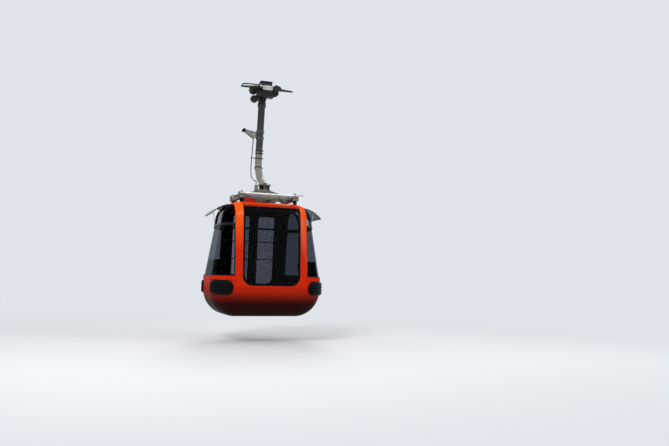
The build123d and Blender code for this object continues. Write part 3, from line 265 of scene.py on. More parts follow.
# %% [markdown]
# The roof frame and the door rail are hot-dip galvanised steel. The zinc freezes in flat crystals
# called spangle, each a slightly different grey, and the air then dulls it in patches of 110 mm.
# Cells of 14 mm draw the spangle; the shader stays a full metal, and its roughness changes from
# cell to cell. Rubbed edges are brighter, and painted shade darkens the lower part of the long
# beams. A darker copy of the zinc stands for aged zinc with painted shade. The pin and the bolts
# get the same recipe with a finer, brighter grain.

# %% Galvanised steel
dulled_size, spangle_share = 1 / 9, 0.16


def zinc(name, pale, dark, spangle, rough_low, rough_high, shade_heights=None):
    """Zinc-coated steel with crystals of the given size in metres, darkened between two heights by
    painted shade.
    """
    material, tree, where = new_surface(name, Metallic=1.0)
    cells = add_node(tree, "TexVoronoi", {"Vector": where, "Scale": 1 / spangle, "Randomness": 1.0})
    tone = add_node(tree, "SeparateColor", {0: cells["Color"]})[0]
    dulled = add_node(tree, "TexNoise", {
        "Vector": where, "Scale": 1 / dulled_size, "Detail": 5.0,
    })[0]
    blend = add_node(tree, "Math", {0: tone, 1: spangle_share, 2: dulled}, operation="MULTIPLY_ADD")
    colour = add_node(tree, "ValToRGB", {0: blend[0]}, stops=((0.35, dark), (0.95, pale)))[0]
    # Painted shade: the lower part of a long beam darkens to a dark grey.
    if shade_heights:
        height = add_node(tree, "SeparateXYZ", {0: where})[2]
        beam_shade = add_node(tree, "MapRange", {0: height, 1: shade_heights[0], 2: shade_heights[1], 4: 0.8})[0]
        colour = add_node(
            tree, "Mix", {0: beam_shade, 6: colour, 7: linear("#2a2925")}, data_type="RGBA",
        )[2]
    colour = worn_edges(tree, colour, dulled, "#cfcdc4")
    rough = add_node(tree, "MapRange", {0: tone, 3: rough_low, 4: rough_high})[0]
    return set_surface(material, {"Base Color": colour, "Roughness": rough}, dulled, 0.2, 0.001)


fresh_zinc = ("#b9b6aa", "#8f8c82", 0.014, 0.26, 0.38)
galvanised_steel = zinc("galvanised_steel", *fresh_zinc)
galvanised_beam = zinc("galvanised_beam_steel", *fresh_zinc, shade_heights=(-1.985, -2.075))
# A darker copy of the zinc: aged zinc with painted shade.
galvanised_aged_shaded = zinc("galvanised_aged_shaded_steel", "#85837a", "#55544e", 0.014, 0.34, 0.5)
turned_steel = zinc("turned_steel", "#e6e5e0", "#b5b3ad", 0.004, 0.16, 0.26)
zinc_plated_bolts = zinc("zinc_plated_bolts", "#dedcd4", "#bab7ab", 0.006, 0.16, 0.26)

# %% [markdown]
# The hanger tube is steel under zinc-rich grey paint, brushed on in the field. Its upper half is
# painted dark as painted shade, and below the clamped bands it is a lighter, warmer grey as painted
# sunlight. A ramp up the tube draws that change, long thin noise draws streaks 25 mm wide and 400
# mm long that also break up the line between the two, and noise of 12 mm the marks of the brush.

# %% Hanger paint
tube_top_z, tube_change_z, tube_foot_z = -0.17, -1.06, -1.76
tube_streak_width, tube_streak_length, brush_mark = 0.025, 0.4, 0.012
hanger_paint, tree, where = new_surface("zinc_rich_hanger_paint", IOR=1.5, Specular_IOR_Level=0.2)
height = add_node(tree, "SeparateXYZ", {0: where})[2]
share = add_node(tree, "MapRange", {0: height, 1: tube_foot_z, 2: tube_top_z})[0]
tube_streak_place = add_node(tree, "Mapping", {
    "Vector": where, "Scale": (1 / tube_streak_width, 1 / tube_streak_width, 1 / tube_streak_length),
})[0]
tube_streaks = add_node(tree, "TexNoise", {"Vector": tube_streak_place, "Scale": 1.0, "Detail": 5.0})[0]
moved = add_node(tree, "Math", {0: tube_streaks, 1: 0.16, 2: share}, operation="MULTIPLY_ADD")[0]
change = (tube_change_z - tube_foot_z) / (tube_top_z - tube_foot_z) + 0.08
# Painted light: the low stops are the tube's sunlit grey, the high ones its shaded dark grey.
colour = add_node(tree, "ValToRGB", {0: moved}, stops=(
    (0.08, "#868070"), (change - 0.05, "#74716a"), (change + 0.02, "#2f3334"), (0.95, "#202426"),
))[0]
rough = add_node(tree, "MapRange", {0: tube_streaks, 3: 0.38, 4: 0.62})[0]
brushed = add_node(tree, "TexNoise", {"Vector": where, "Scale": 1 / brush_mark, "Detail": 3.0})[0]
set_surface(hanger_paint, {"Base Color": colour, "Roughness": rough}, brushed, 0.25, 0.0012)

# %% [markdown]
# The lever's two saddles go round the tube and carry the tube's own paint, the dark grey of its
# painted shade. Its arms are bare zinc, weathered in patches of 33 mm. The place along X tells
# saddle from arm, so one material serves both.

# %% Lever finish
saddle_edge_x, weather_size = -0.082, 1 / 30
lever_finish, tree, where = new_surface("zinc_lever_with_shaded_saddles")
along = add_node(tree, "SeparateXYZ", {0: where})[0]
is_saddle = add_node(tree, "Math", {0: along, 1: saddle_edge_x}, operation="GREATER_THAN")[0]
is_arm = add_node(tree, "Math", {0: 1.0, 1: is_saddle}, operation="SUBTRACT")[0]
weather = add_node(tree, "TexNoise", {"Vector": where, "Scale": 1 / weather_size, "Detail": 5.0})[0]
# The saddles' dark greys copy the tube's painted shade.
arm, saddle = (
    add_node(tree, "ValToRGB", {0: weather}, stops=((0.3, dark), (0.7, pale)))[0]
    for dark, pale in (("#73716a", "#96948b"), ("#25282a", "#323638"))
)
colour = add_node(tree, "Mix", {0: is_saddle, 6: arm, 7: saddle}, data_type="RGBA")[2]
rough = add_node(tree, "MapRange", {0: weather, 1: 0.3, 2: 0.7, 3: 0.34, 4: 0.5})[0]
patterns = {"Base Color": colour, "Metallic": is_arm, "Roughness": rough}
set_surface(lever_finish, patterns, weather, 0.2, 0.001)

# %% [markdown]
# The grip is cast steel, black with oil. Sand casting leaves a grain of about 3 mm, and the edges
# that hands and rope touch shine through. The same recipe with other values makes the rubbers,
# the black profiles, the moulded plastics, the floor covering, the cable's sheath and the milled
# plate: a base colour broken up in patches of 140 mm, a roughness range, and a bump of the
# grain's size. Rubber and plastic are really finer, and are drawn at 2 to 4 mm so that it shows.

# %% Castings, rubbers and plastics
patch_size = 1 / 7


def grained(
    name, dark, pale, grain, depth, rough_low, rough_high,
    metallic=0.0, ior=1.5, worn=None, gloss=0.12,
):
    """A moulded or cast surface with a grain of the given size; worn colours its edges."""
    material, tree, where = new_surface(
        name, Metallic=metallic, IOR=ior, Specular_IOR_Level=0.5 if metallic else gloss,
    )
    broad = add_node(tree, "TexNoise", {
        "Vector": where, "Scale": 1 / patch_size, "Detail": 7.0, "Roughness": 0.6,
    })[0]
    fine = add_node(tree, "TexNoise", {"Vector": where, "Scale": 1 / grain, "Detail": 3.0})[0]
    colour = add_node(tree, "ValToRGB", {0: broad}, stops=((0.32, dark), (0.72, pale)))[0]
    if worn:
        colour = worn_edges(tree, colour, fine, worn)
    rough = add_node(tree, "MapRange", {0: broad, 1: 0.3, 2: 0.7, 3: rough_low, 4: rough_high})[0]
    return set_surface(material, {"Base Color": colour, "Roughness": rough}, fine, 0.5, depth)


oiled_cast_steel = grained(
    "oiled_cast_steel", "#070808", "#1c1d1d", 0.003, 0.0008, 0.32, 0.55,
    metallic=0.4, worn="#4c4d4b",
)
moulded_rubber = grained(
    "moulded_rubber", "#020304", "#090b0d", 0.004, 0.0005, 0.36, 0.52, ior=1.52, gloss=0.06,
)
seal_rubber = grained("seal_rubber", "#070808", "#141516", 0.004, 0.0004, 0.38, 0.55, ior=1.52)
black_profile = grained(
    "black_anodised_profile", "#0b0c0d", "#1d1f21", 0.003, 0.0003, 0.3, 0.45, worn="#3a3c3e",
)
bench_moulding = grained("bench_moulding", "#0f1012", "#1d1f22", 0.003, 0.0004, 0.45, 0.6)
bench_slat_moulding = grained("bench_slat_moulding", "#3c3e41", "#55575a", 0.003, 0.0004, 0.4, 0.55)
red_abs = grained("red_moulded_cover", "#8f1014", "#c0181c", 0.002, 0.0002, 0.24, 0.36, ior=1.53)
floor_covering = grained("floor_covering", "#0c0d0d", "#1a1b1c", 0.004, 0.0008, 0.6, 0.8)
cable_sheath = grained("cable_sheath", "#0d0d0e", "#26272a", 0.003, 0.0004, 0.4, 0.55)
printed_border = grained("printed_border", "#020202", "#060607", 0.003, 0.0001, 0.12, 0.2)
aluminium_plate = grained(
    "milled_aluminium_plate", "#9d9d98", "#c9c8c2", 0.002, 0.0003, 0.32, 0.45, metallic=1.0,
)

# %% [markdown]
# A wheel has two materials in one solid: a rubber tyre on a cast web, both with a grain of 17 mm,
# coarse enough to show. Both are rings about the axle, so the distance from the axle decides
# which one shows. The measure comes from the middle of each wheel's own box, and because it is
# taken in the wheel's coordinates it turns with it.

# %% Tyred wheels
tyre_thickness, wheel_grain = 0.02, 1 / 60


def tyred_wheel(node):
    """Rubber beyond the rim and grey cast metal inside it, for a wheel whose axle is along Y."""
    low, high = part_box(node)
    middle, rim = (low + high) / 2, (high.z - low.z) / 2 - tyre_thickness
    material, tree, where = new_surface("tyred_" + node, IOR=1.5)
    from_axle = add_node(tree, "VectorMath", {0: where, 1: middle}, operation="SUBTRACT")[0]
    spread = add_node(tree, "VectorMath", {0: from_axle, 1: (1, 0, 1)}, operation="MULTIPLY")[0]
    radius = add_node(tree, "VectorMath", {0: spread}, operation="LENGTH")["Value"]
    is_tyre = add_node(tree, "Math", {0: radius, 1: rim}, operation="GREATER_THAN")[0]
    grain = add_node(tree, "TexNoise", {"Vector": where, "Scale": 1 / wheel_grain})[0]
    web, tyre = (
        add_node(tree, "ValToRGB", {0: grain}, stops=((0.3, dark), (0.7, pale)))[0]
        for dark, pale in (("#141515", "#2c2e2d"), ("#090a0a", "#1b1c1c"))
    )
    colour = add_node(tree, "Mix", {0: is_tyre, 6: web, 7: tyre}, data_type="RGBA")[2]
    rough = add_node(tree, "MapRange", {0: is_tyre, 3: 0.4, 4: 0.6})[0]
    return set_surface(material, {"Base Color": colour, "Roughness": rough}, grain, 0.3, 0.0008)


wheel_nodes = ("running_wheel_left", "running_wheel_right", "guide_roller", "lever_roller")
wheel_finish = {name: tyred_wheel(name) for name in wheel_nodes}

# %% [markdown]
# Every CAD solid now gets its finish. A table from finish to nodes is easier to check than one
# assignment after another, and a node that the table doesn't name would stop the script.

# %% Dress the CAD nodes
finishes = (
    (coach_paint_orange, "tub belt_rails"),
    (coach_paint_orange, "pillar_near_left pillar_near_right pillar_far_left pillar_far_right"),
    (coach_paint_leaf, "door_leaf_left door_leaf_right"),
    (coach_paint_roof, "roof_panel"),
    (coach_paint_header, "side_headers"),
    (smoked_dark, "side_window"),
    (smoked_flap, "vent_flaps"),
    (smoked_door, "door_pane_left door_pane_right"),
    (smoked_end, "end_pane_left end_pane_right corner_panes"),
    (galvanised_steel, "door_rail sill_plate flap_stays"),
    (galvanised_beam, "frame_beam_near frame_beam_far frame_outriggers"),
    (galvanised_aged_shaded, "frame_spine frame_cross mount_housings foot_casting"),
    (lever_finish, "door_lever"),
    (hanger_paint, "hanger_tube hanger_head"),
    (oiled_cast_steel, "grip_body moving_jaw rope_tongues friction_plate"),
    (oiled_cast_steel, "clamp_springs wheel_axles"),
    (turned_steel, "hanger_pin"),
    (black_profile, "vent_frames tube_bands"),
    (moulded_rubber, "frame_mounts foot_damper corner_bumpers"),
    (bench_moulding, "benches backrests"),
    (aluminium_plate, "front_plate"),
    (red_abs, "drive_cover"),
    (floor_covering, "floor"),
    (cable_sheath, "door_cable"),
)
finish_of = {node: finish for finish, names in finishes for node in names.split()} | wheel_finish
for name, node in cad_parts.items():
    node.data.materials.clear()
    node.data.materials.append(finish_of[name])
print("dressed", len(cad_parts), "nodes")

# %% [markdown]
# The added pieces are meshes made from lists of points. Three builders make most of them: a tube
# along a path for seals, springs and rods, a turned form for bolts and caps, and a ribbon between
# lines for flat bands. Each gives points and faces, and all three join rings of points in turn.

# %% Builders of tubes, turned forms and ribbons


def rings_joined(count, across, closed):
    """Faces between rings of points in turn, with a cap at each end unless the row is closed."""
    faces = []
    for i in range(count if closed else count - 1):
        a, b = i * across, (i + 1) % count * across
        faces += [(a + k, a + (k + 1) % across, b + (k + 1) % across, b + k) for k in range(across)]
    if not closed:
        faces += [tuple(range(across))[::-1], tuple(range((count - 1) * across, count * across))]
    return faces


def tube_along(points, radius, sides, closed=False):
    """Points and faces of a tube round a path."""
    points = [Vector(p) for p in points]
    count = len(points)
    rings, side = [], None
    for i, point in enumerate(points):
        before = points[i - 1] if closed or i else point
        after = points[(i + 1) % count] if closed or i < count - 1 else point
        way = (after - before).normalized()
        side = way.orthogonal() if side is None else side - way * side.dot(way)
        side.normalize()
        other = way.cross(side)
        for k in range(sides):
            turn = 2 * math.pi * k / sides
            rings.append(point + side * radius * math.cos(turn) + other * radius * math.sin(turn))
    return rings, rings_joined(count, sides, closed)


def circle(place, axis, radii):
    """Points round an axis, one for each radius in the list."""
    side = axis.orthogonal().normalized()
    other = axis.cross(side)
    turns = [2 * math.pi * k / len(radii) for k in range(len(radii))]
    return [
        place + (side * math.cos(turn) + other * math.sin(turn)) * radius
        for turn, radius in zip(turns, radii)
    ]


def turned(profile, place, axis, sides):
    """Points and faces of a form turned about an axis; the profile is (radius, height) pairs."""
    axis = Vector(axis).normalized()
    points = []
    for radius, height in profile:
        points += circle(Vector(place) + axis * height, axis, [radius] * sides)
    return points, rings_joined(len(profile), sides, False)


def ribbon(lines, closed=False):
    """Points and faces of a band whose cross-section runs through the given lines in turn."""
    points = [Vector(line[i]) for i in range(len(lines[0])) for line in lines]
    return points, rings_joined(len(lines[0]), len(lines), closed)


square = turned([(1.0, 0.0), (1.0, 1.0)], (0, 0, 0), (0, 0, 1), 4)
print("a turned square has", len(square[0]), "points and", len(square[1]), "faces")

# %% [markdown]
# Lugs and slats are blocks whose edges are a little round, as on every real part. A cube with the
# bevel operator is quicker than a list of points. A hexagon bolt is two turned forms, a washer
# with 16 sides and a head with 6, both with a chamfer.

# %% Builders of blocks and bolts


def bevelled_block(low, high, edge):
    """Points and faces of a block with rounded edges."""
    low, high = Vector(low), Vector(high)
    block = bmesh.new()
    bmesh.ops.create_cube(block, size=1.0)
    for v in block.verts:
        v.co = (low + high) / 2 + Vector(a * b for a, b in zip(v.co, high - low))
    bmesh.ops.bevel(
        block, geom=block.edges[:], offset=edge, segments=2, affect="EDGES", profile=0.5,
    )
    block.verts.index_update()
    points = [v.co.copy() for v in block.verts]
    faces = [tuple(v.index for v in face.verts) for face in block.faces]
    block.free()
    return points, faces


def hex_bolts(xs, ys, zs, axis, across):
    """A hexagon head with its chamfer on a washer, at every crossing of the given places."""
    washer = ((0.74, 0.0), (0.74, 0.09), (0.68, 0.13))
    head = ((0.57, 0.13), (0.57, 0.52), (0.48, 0.6))
    return [
        turned([(r * across, h * across) for r, h in profile], (x, y, z), axis, sides)
        for x in xs for y in ys for z in zs for profile, sides in ((washer, 16), (head, 6))
    ]


print("a block has", len(bevelled_block((0, 0, 0), (1, 1, 1), 0.1)[1]), "faces")

# %% [markdown]
# One function joins any number of forms into a named piece, turns its faces outwards, shades it
# smooth up to a given angle, and makes it ride on a body, so that it moves with the joints.

# %% Adding a piece


def add_piece(name, parts, material, body, smooth=40):
    """Joins forms into one mesh, shades it, and makes it ride on a body."""
    points, faces = [], []
    for part_points, part_faces in parts:
        faces += [tuple(i + len(points) for i in face) for face in part_faces]
        points += part_points
    mesh = bpy.data.meshes.new(name)
    mesh.from_pydata(points, [], faces)
    work = bmesh.new()
    work.from_mesh(mesh)
    bmesh.ops.recalc_face_normals(work, faces=work.faces[:])
    work.to_mesh(mesh)
    work.free()
    for face in mesh.polygons:
        face.use_smooth = True
    mesh.set_sharp_from_angle(angle=math.radians(smooth))
    mesh.materials.append(material)
    piece = bpy.data.objects.new(name, mesh)
    scene.collection.objects.link(piece)
    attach(piece, body)
    print(name, len(mesh.polygons), "faces")
    return piece


# %% [markdown]
# Seals and borders lie on the cabin's skin, so the script needs the skin's shape. It is the same
# one as in the CAD: a straight leaning wall from the sill up, a rounded roof edge, an upright tub
# with a rounded foot, and round corners in plan. The functions give the wall's distance from the
# middle at a height, a point of the skin, and a line round one end.

# %% The cabin's skin
sill_z, roof_z, tub_foot_z = -3.410, -2.130, -4.100
transom_z, header_z, window_foot_z = -2.530, -2.224, -3.570
belt_half_length, belt_half_width, corner_radius = 0.970, 0.735, 0.430
end_lean, side_lean = math.radians(9.0), math.radians(3.5)
roof_radius, tub_radius = 0.300, 0.440


def wall_reach(z, belt, lean, out=0.0):
    """How far the wall's face stands from the middle at a height."""
    top = belt - (roof_z - sill_z) * math.tan(lean)
    curve_z = roof_z - roof_radius
    curve_middle = top + roof_radius * math.tan(lean) - roof_radius / math.cos(lean)
    foot_curve_z = tub_foot_z + tub_radius
    if z > curve_z + (roof_radius + out) * math.sin(lean):
        return curve_middle + math.sqrt((roof_radius + out) ** 2 - (z - curve_z) ** 2)
    if z >= sill_z:
        return belt - (z - sill_z) * math.tan(lean) + out / math.cos(lean)
    if z > foot_curve_z:
        return belt + out
    return belt - tub_radius + math.sqrt((tub_radius + out) ** 2 - (z - foot_curve_z) ** 2)


def plan_at(z, out):
    """The skin's half length, half width and corner radius at a height."""
    half_length = wall_reach(z, belt_half_length, end_lean, out)
    half_width = wall_reach(z, belt_half_width, side_lean, out)
    plain = belt_half_width - max(z - sill_z, 0) * math.tan(side_lean) + out
    return half_length, half_width, corner_radius + out - (plain - half_width)


def skin_point(x, z, side, out=0.0):
    """The point of the skin at a distance along the cabin and a height; side is -1 or 1 in Y."""
    half_length, half_width, round_off = plan_at(z, out)
    over = abs(x) - (half_length - round_off)
    if over > 0:
        half_width += math.sqrt(round_off ** 2 - over ** 2) - round_off
    return Vector((x, side * half_width, z))


def end_line(z, side, from_x, out=0.0, steps=14):
    """Points round one end at a height, from near pillar to far pillar; side is -1 or 1 in X."""
    half_length, half_width, round_off = plan_at(z, out)
    middle_x, middle_y = half_length - round_off, half_width - round_off
    start = math.asin(min(1.0, (from_x - middle_x) / round_off))
    turns = [start + (math.pi / 2 - start) * i / steps for i in range(steps + 1)]
    near = [Vector((
        side * (middle_x + round_off * math.sin(t)), -middle_y - round_off * math.cos(t), z,
    )) for t in turns]
    return near + [Vector((p.x, -p.y, p.z)) for p in reversed(near)]


for word, z in (("belt", sill_z), ("header", header_z)):
    print(word, "at", round(skin_point(0, z, -1).y, 3))

# %% [markdown]
# An opening is drawn flat, as a rectangle with its own radius at each corner, and is then bent to
# the skin point by point. A bent line needs enough points, so long sides are divided.

# %% Outlines of openings


def rounded_outline(from_x, to_x, foot_z, top_z, corners, steps=8):
    """Outline in X and Z with its own radius at each corner, from the foot's left one round."""
    spots = (
        (from_x, foot_z, 1, 1, 180), (to_x, foot_z, -1, 1, 270),
        (to_x, top_z, -1, -1, 0), (from_x, top_z, 1, -1, 90),
    )
    line = []
    for (x, z, x_way, z_way, start), radius in zip(spots, corners):
        for i in range(steps + 1):
            turn = math.radians(start + 90 * i / steps)
            line.append((
                x + x_way * radius + radius * math.cos(turn),
                z + z_way * radius + radius * math.sin(turn),
            ))
    return line


def divided(line, longest=0.06):
    """The same closed line with points added where two neighbours lie far apart."""
    out = []
    for (x0, z0), (x1, z1) in zip(line, line[1:] + line[:1]):
        parts = max(1, math.ceil(math.hypot(x1 - x0, z1 - z0) / longest))
        out += [(x0 + (x1 - x0) * i / parts, z0 + (z1 - z0) * i / parts) for i in range(parts)]
    return out


def evenly(start, end, steps):
    """Values at even steps from start to end."""
    return [start + (end - start) * i / steps for i in range(steps + 1)]


print("a unit square divides into", len(divided([(0, 0), (1, 0), (1, 1), (0, 1)])), "points")

# %% [markdown]
# Each window sits in a black rubber seal, and its edge is printed black so that the glue can't be
# seen. A bead along the opening's outline makes the seal. The border is a band of 1 mm just
# behind the pane, between the outline and the same outline drawn in.

# %% Seals and borders of the side window and the door leaves
pane_set_in, pane_thickness = 0.012, 0.008
window_corner, window_half, seal_radius = 0.165, 0.497, 0.0065
leaf_foot_z, leaf_top_z = window_foot_z + 0.002, header_z - 0.042
leaf_inner_x, leaf_outer_x, leaf_seals, leaf_pane = 0.068, 0.414, (0.046, 0.016), 0.034


def border_section(outer, inner):
    """The four edges of a printed border, each with its depth behind the pane."""
    return (outer, 0.0006), (inner, 0.0006), (inner, 0.0016), (outer, 0.0016)


def seal_and_border(name, body, side, opening, seal_outs, pane_out, border):
    """A bead round an opening at each offset from the skin, and a border behind the pane."""
    from_x, to_x, foot_z, top_z, _ = opening
    line = divided(rounded_outline(*opening))
    beads = [
        tube_along([skin_point(x, z, side, out) for x, z in line], seal_radius, 8, True)
        for out in seal_outs
    ]
    add_piece(name + "_seal", beads, seal_rubber, body)
    middle_x, middle_z = (from_x + to_x) / 2, (foot_z + top_z) / 2
    x_share = 1 - border / (abs(to_x - from_x) / 2)
    z_share = 1 - border / ((top_z - foot_z) / 2)
    inner = [
        (middle_x + (x - middle_x) * x_share, middle_z + (z - middle_z) * z_share) for x, z in line
    ]
    bands = [
        [skin_point(x, z, side, pane_out - back) for x, z in edge]
        for edge, back in border_section(line, inner)
    ]
    add_piece(name + "_border", [ribbon(bands, True)], printed_border, body)


seal_and_border("side_window", "cabin", -1, (
    -window_half, window_half, window_foot_z + 0.003, header_z - 0.004,
    (window_corner, window_corner, 0.012, 0.012),
), (-0.003,), -pane_set_in - pane_thickness, 0.03)
seal_and_border("door_window_left", "door_left", 1, (
    -leaf_outer_x, -leaf_inner_x, leaf_foot_z, leaf_top_z, (0.12, 0.03, 0.03, 0.03),
), leaf_seals, leaf_pane, 0.02)
seal_and_border("door_window_right", "door_right", 1, (
    leaf_inner_x, leaf_outer_x, leaf_foot_z, leaf_top_z, (0.03, 0.12, 0.03, 0.03),
), leaf_seals, leaf_pane, 0.02)

# %% [markdown]
# A dark divider crosses each leaf's window at the height of the end panes' transom. It is a flat
# profile on both faces of the pane, bent to the skin, with its front edges bevelled.

# %% Dividers of the door windows
divider_z, divider_half = transom_z + 0.019, 0.017
divider_from_x, divider_length = 0.067, 0.348
for side, word in ((-1, "left"), (1, "right")):
    xs = [side * (divider_from_x + divider_length * i / 12) for i in range(13)]
    strips = [
        ribbon([
            [skin_point(x, divider_z + rise, 1, out) for x in xs]
            for rise, out in (
                (-divider_half, back_out), (-divider_half, face_out - 0.003),
                (-divider_half + 0.004, face_out), (divider_half - 0.004, face_out),
                (divider_half, face_out - 0.003), (divider_half, back_out),
            )
        ])
        for face_out, back_out in ((0.0495, 0.0375), (0.0285, 0.0165))
    ]
    add_piece("leaf_divider_" + word, strips, black_profile, "door_" + word, 50)

# %% [markdown]
# The end panes wrap round the corners between the pillars, the belt rail and the transom. Their
# seal runs along the sill, under the transom and up both pillars, and their border beside it.

# %% Seals of the end panes
pillar_edge, end_seal_radius, end_seal_in = 0.626, 0.006, -0.004
inside_pane = -pane_set_in - pane_thickness
end_seal_levels = evenly(sill_z + 0.006, transom_z - 0.022, 16)
for side, word in ((-1, "left"), (1, "right")):
    beads = [
        tube_along(end_line(z, side, pillar_edge, end_seal_in), end_seal_radius, 8)
        for z in (sill_z + 0.006, transom_z - 0.022)
    ]
    borders = [
        ribbon([
            end_line(z, side, pillar_edge, inside_pane - back)
            for z, back in border_section(edge, inner)
        ])
        for edge, inner in ((sill_z + 0.002, sill_z + 0.03), (transom_z - 0.019, transom_z - 0.05))
    ]
    for y_side in (-1, 1):
        beads.append(tube_along([
            skin_point(side * (pillar_edge + 0.004), z, y_side, end_seal_in)
            for z in end_seal_levels
        ], end_seal_radius, 8))
        borders.append(ribbon([
            [skin_point(side * x, z, y_side, inside_pane - back) for z in end_seal_levels]
            for x, back in border_section(pillar_edge + 0.001, pillar_edge + 0.012)
        ]))
    add_piece("end_pane_seal_" + word, beads, seal_rubber, "cabin")
    add_piece("end_pane_border_" + word, borders, printed_border, "cabin")

# %% [markdown]
# Each corner of the tub has a moulded rubber bumper with three grooves. CAD holds a plain block
# there. The real one is a pad: thick in the middle, thinning to rounded ends. A grid of points
# round the corner gives it that shape, with the grooves as three dips in its profile, and a
# second grid on the skin closes its back. On the side of the doors the pads stop short, so that
# the open leaves pass them.

# %% Corner bumpers
bumper_top, bumper_foot, bumper_proud = -3.485, -3.730, 0.045
bumper_from_turn, near_to_turn, far_to_turn = 7.5, 76.0, 61.0
groove_levels, groove_width, groove_depth = (-0.45, 0.05, 0.5), 0.055, 0.28
pad_columns, pad_rows = 48, 40


def bumper(x_side, y_side):
    """One pad round a corner, as a closed form."""
    middle_x, middle_y = belt_half_length - corner_radius, belt_half_width - corner_radius
    to_turn = near_to_turn if y_side < 0 else far_to_turn
    front, back = [], []
    for i in range(pad_columns + 1):
        along = 2 * i / pad_columns - 1
        turn = math.radians(bumper_from_turn + (to_turn - bumper_from_turn) * i / pad_columns)
        half = (bumper_top - bumper_foot) / 2 * (1 - min(1.0, abs(along)) ** 5) ** 0.45
        for j in range(pad_rows + 1):
            level = 2 * j / pad_rows - 1
            swell = (1 - abs(level) ** 5) ** 0.5 * (1 - abs(along) ** 6) ** 0.5
            dip = sum(math.exp(-(((level - at) / groove_width) ** 2)) for at in groove_levels)
            out = 0.001 + bumper_proud * swell * (0.97 - groove_depth * min(1.0, dip))
            z = (bumper_top + bumper_foot) / 2 + level * half
            skin = corner_radius + 0.0005
            if z < tub_foot_z + tub_radius:
                skin -= tub_radius - math.sqrt(tub_radius ** 2 - (tub_foot_z + tub_radius - z) ** 2)
            for grid, far in ((front, skin + out), (back, corner_radius + 0.0004)):
                grid.append(Vector((
                    x_side * (middle_x + far * math.cos(turn)),
                    y_side * (middle_y + far * math.sin(turn)), z,
                )))
    across, shift = pad_rows + 1, len(front)
    faces = []
    for i in range(pad_columns):
        a, b = i * across, (i + 1) * across
        top_a, top_b = a + pad_rows, b + pad_rows
        faces += [(k, k + across, k + across + 1, k + 1) for k in range(a, top_a)]
        faces += [
            (shift + k, shift + k + 1, shift + k + across + 1, shift + k + across)
            for k in range(a, top_a)
        ]
        faces += [(a, shift + a, shift + b, b), (top_a, top_b, shift + top_b, shift + top_a)]
    last = pad_columns * across
    for j in range(pad_rows):
        faces += [(j, j + 1, shift + j + 1, shift + j)]
        faces += [(last + j, shift + last + j, shift + last + j + 1, last + j + 1)]
    return front + back, faces


corner_pads = add_piece(
    "corner_pads", [bumper(x, y) for x in (-1, 1) for y in (-1, 1)], moulded_rubber, "cabin",
    50,
)
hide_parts("corner_bumpers")

# %% [markdown]
# Under the window a shallow moulded bead runs across the tub, each pillar has a dark joint
# where it meets the roof, and a black strip fills the groove under the belt rail. All are thin
# bands that follow the skin: a table of heights and offsets gives each its cross-section.

# %% Moulded bead, pillar joints and belt grooves
bead_z, joint_z, groove_z = -3.606, -2.266, -3.4815
bead_section = ((-0.012, -0.001), (-0.007, 0.006), (0.0, 0.0085), (0.007, 0.006), (0.012, -0.001))
joint_section = ((0.004, -0.002), (0.004, 0.0015), (-0.004, 0.0015), (-0.004, -0.002))
groove_section = ((0.006, -0.002), (0.005, 0.002), (-0.005, 0.002), (-0.006, -0.002))
bead = ribbon([
    [skin_point(x, bead_z + rise, -1, out) for x in evenly(-0.56, 0.56, 24)]
    for rise, out in bead_section
])
add_piece("moulded_bead", [bead], coach_paint_orange, "cabin", 60)
joints = [
    ribbon([
        [skin_point(x_side * x, joint_z + rise, y_side, out) for x in evenly(0.5, 0.625, 6)]
        for rise, out in joint_section
    ])
    for x_side in (-1, 1) for y_side in (-1, 1)
]
add_piece("pillar_joints", joints, seal_rubber, "cabin")
grooves = [
    ribbon([end_line(groove_z + rise, side, pillar_edge, out, 20) for rise, out in groove_section])
    for side in (-1, 1)
]
add_piece("belt_grooves", grooves, seal_rubber, "cabin")

# %% [markdown]
# The vent flaps are held by a black edge profile on three sides. The curve is the flap's own: a
# chord that hangs 30 degrees below level, bowed upwards by 28 mm.

# %% Edge profiles of the vent flaps
hinge_x, hinge_z = 0.6890, -2.1806
flap_length, flap_half_width, flap_crown = 0.345, 0.312, 0.028
flap_turn, edge_radius = math.radians(30), 0.008
profiles = []
for side in (-1, 1):
    arc = []
    for t in evenly(0.1, 1.0, 12):
        bow = flap_crown * (1 - (2 * t - 1) ** 2)
        x = hinge_x + flap_length * t * math.cos(flap_turn) + bow * math.sin(flap_turn)
        z = hinge_z - flap_length * t * math.sin(flap_turn) + bow * math.cos(flap_turn) - 0.003
        arc.append((side * x, z))
    near = [Vector((x, -flap_half_width, z)) for x, z in arc]
    far = [Vector((x, flap_half_width, z)) for x, z in reversed(arc)]
    profiles.append(tube_along(near + far, edge_radius, 10))
add_piece("flap_edges", profiles, black_profile, "cabin")

# %% [markdown]
# Hexagon bolts hold the steelwork together. Their heights and most of their places come from the
# boxes of the nodes that they clamp, so they stay right if the CAD changes.

# %% Bolts of the roof frame, foot and hanger
upwards = (0, 0, 1)
bolts = []
for name, y_side in (("frame_beam_near", -1), ("frame_beam_far", 1)):
    low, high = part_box(name)
    face_y = low.y if y_side < 0 else high.y
    for xs, drops, across in (
        ((-0.505, -0.455, 0.455, 0.505), (0.026,), 0.022), ((-0.19, 0.19), (0.04, 0.08), 0.02),
    ):
        zs = [high.z - drop for drop in drops]
        bolts += hex_bolts(xs, (face_y,), zs, (0, y_side, 0), across)
for name, from_edge, sunk, across in (
    ("mount_housings", 0.065, 0.0015, 0.026), ("drive_cover", 0.02, 0.0008, 0.01),
):
    low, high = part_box(name)
    bolts += hex_bolts(
        (low.x + from_edge, high.x - from_edge), (low.y + from_edge, high.y - from_edge),
        (high.z - sunk,), upwards, across,
    )
low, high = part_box("foot_casting")
bolts += hex_bolts((-0.088, 0.088), (-0.056, 0.0, 0.056), (high.z,), upwards, 0.022)
bolts += hex_bolts((0.098, -0.1), (-0.05, 0.05), (low.z + 0.0157,), upwards, 0.014)
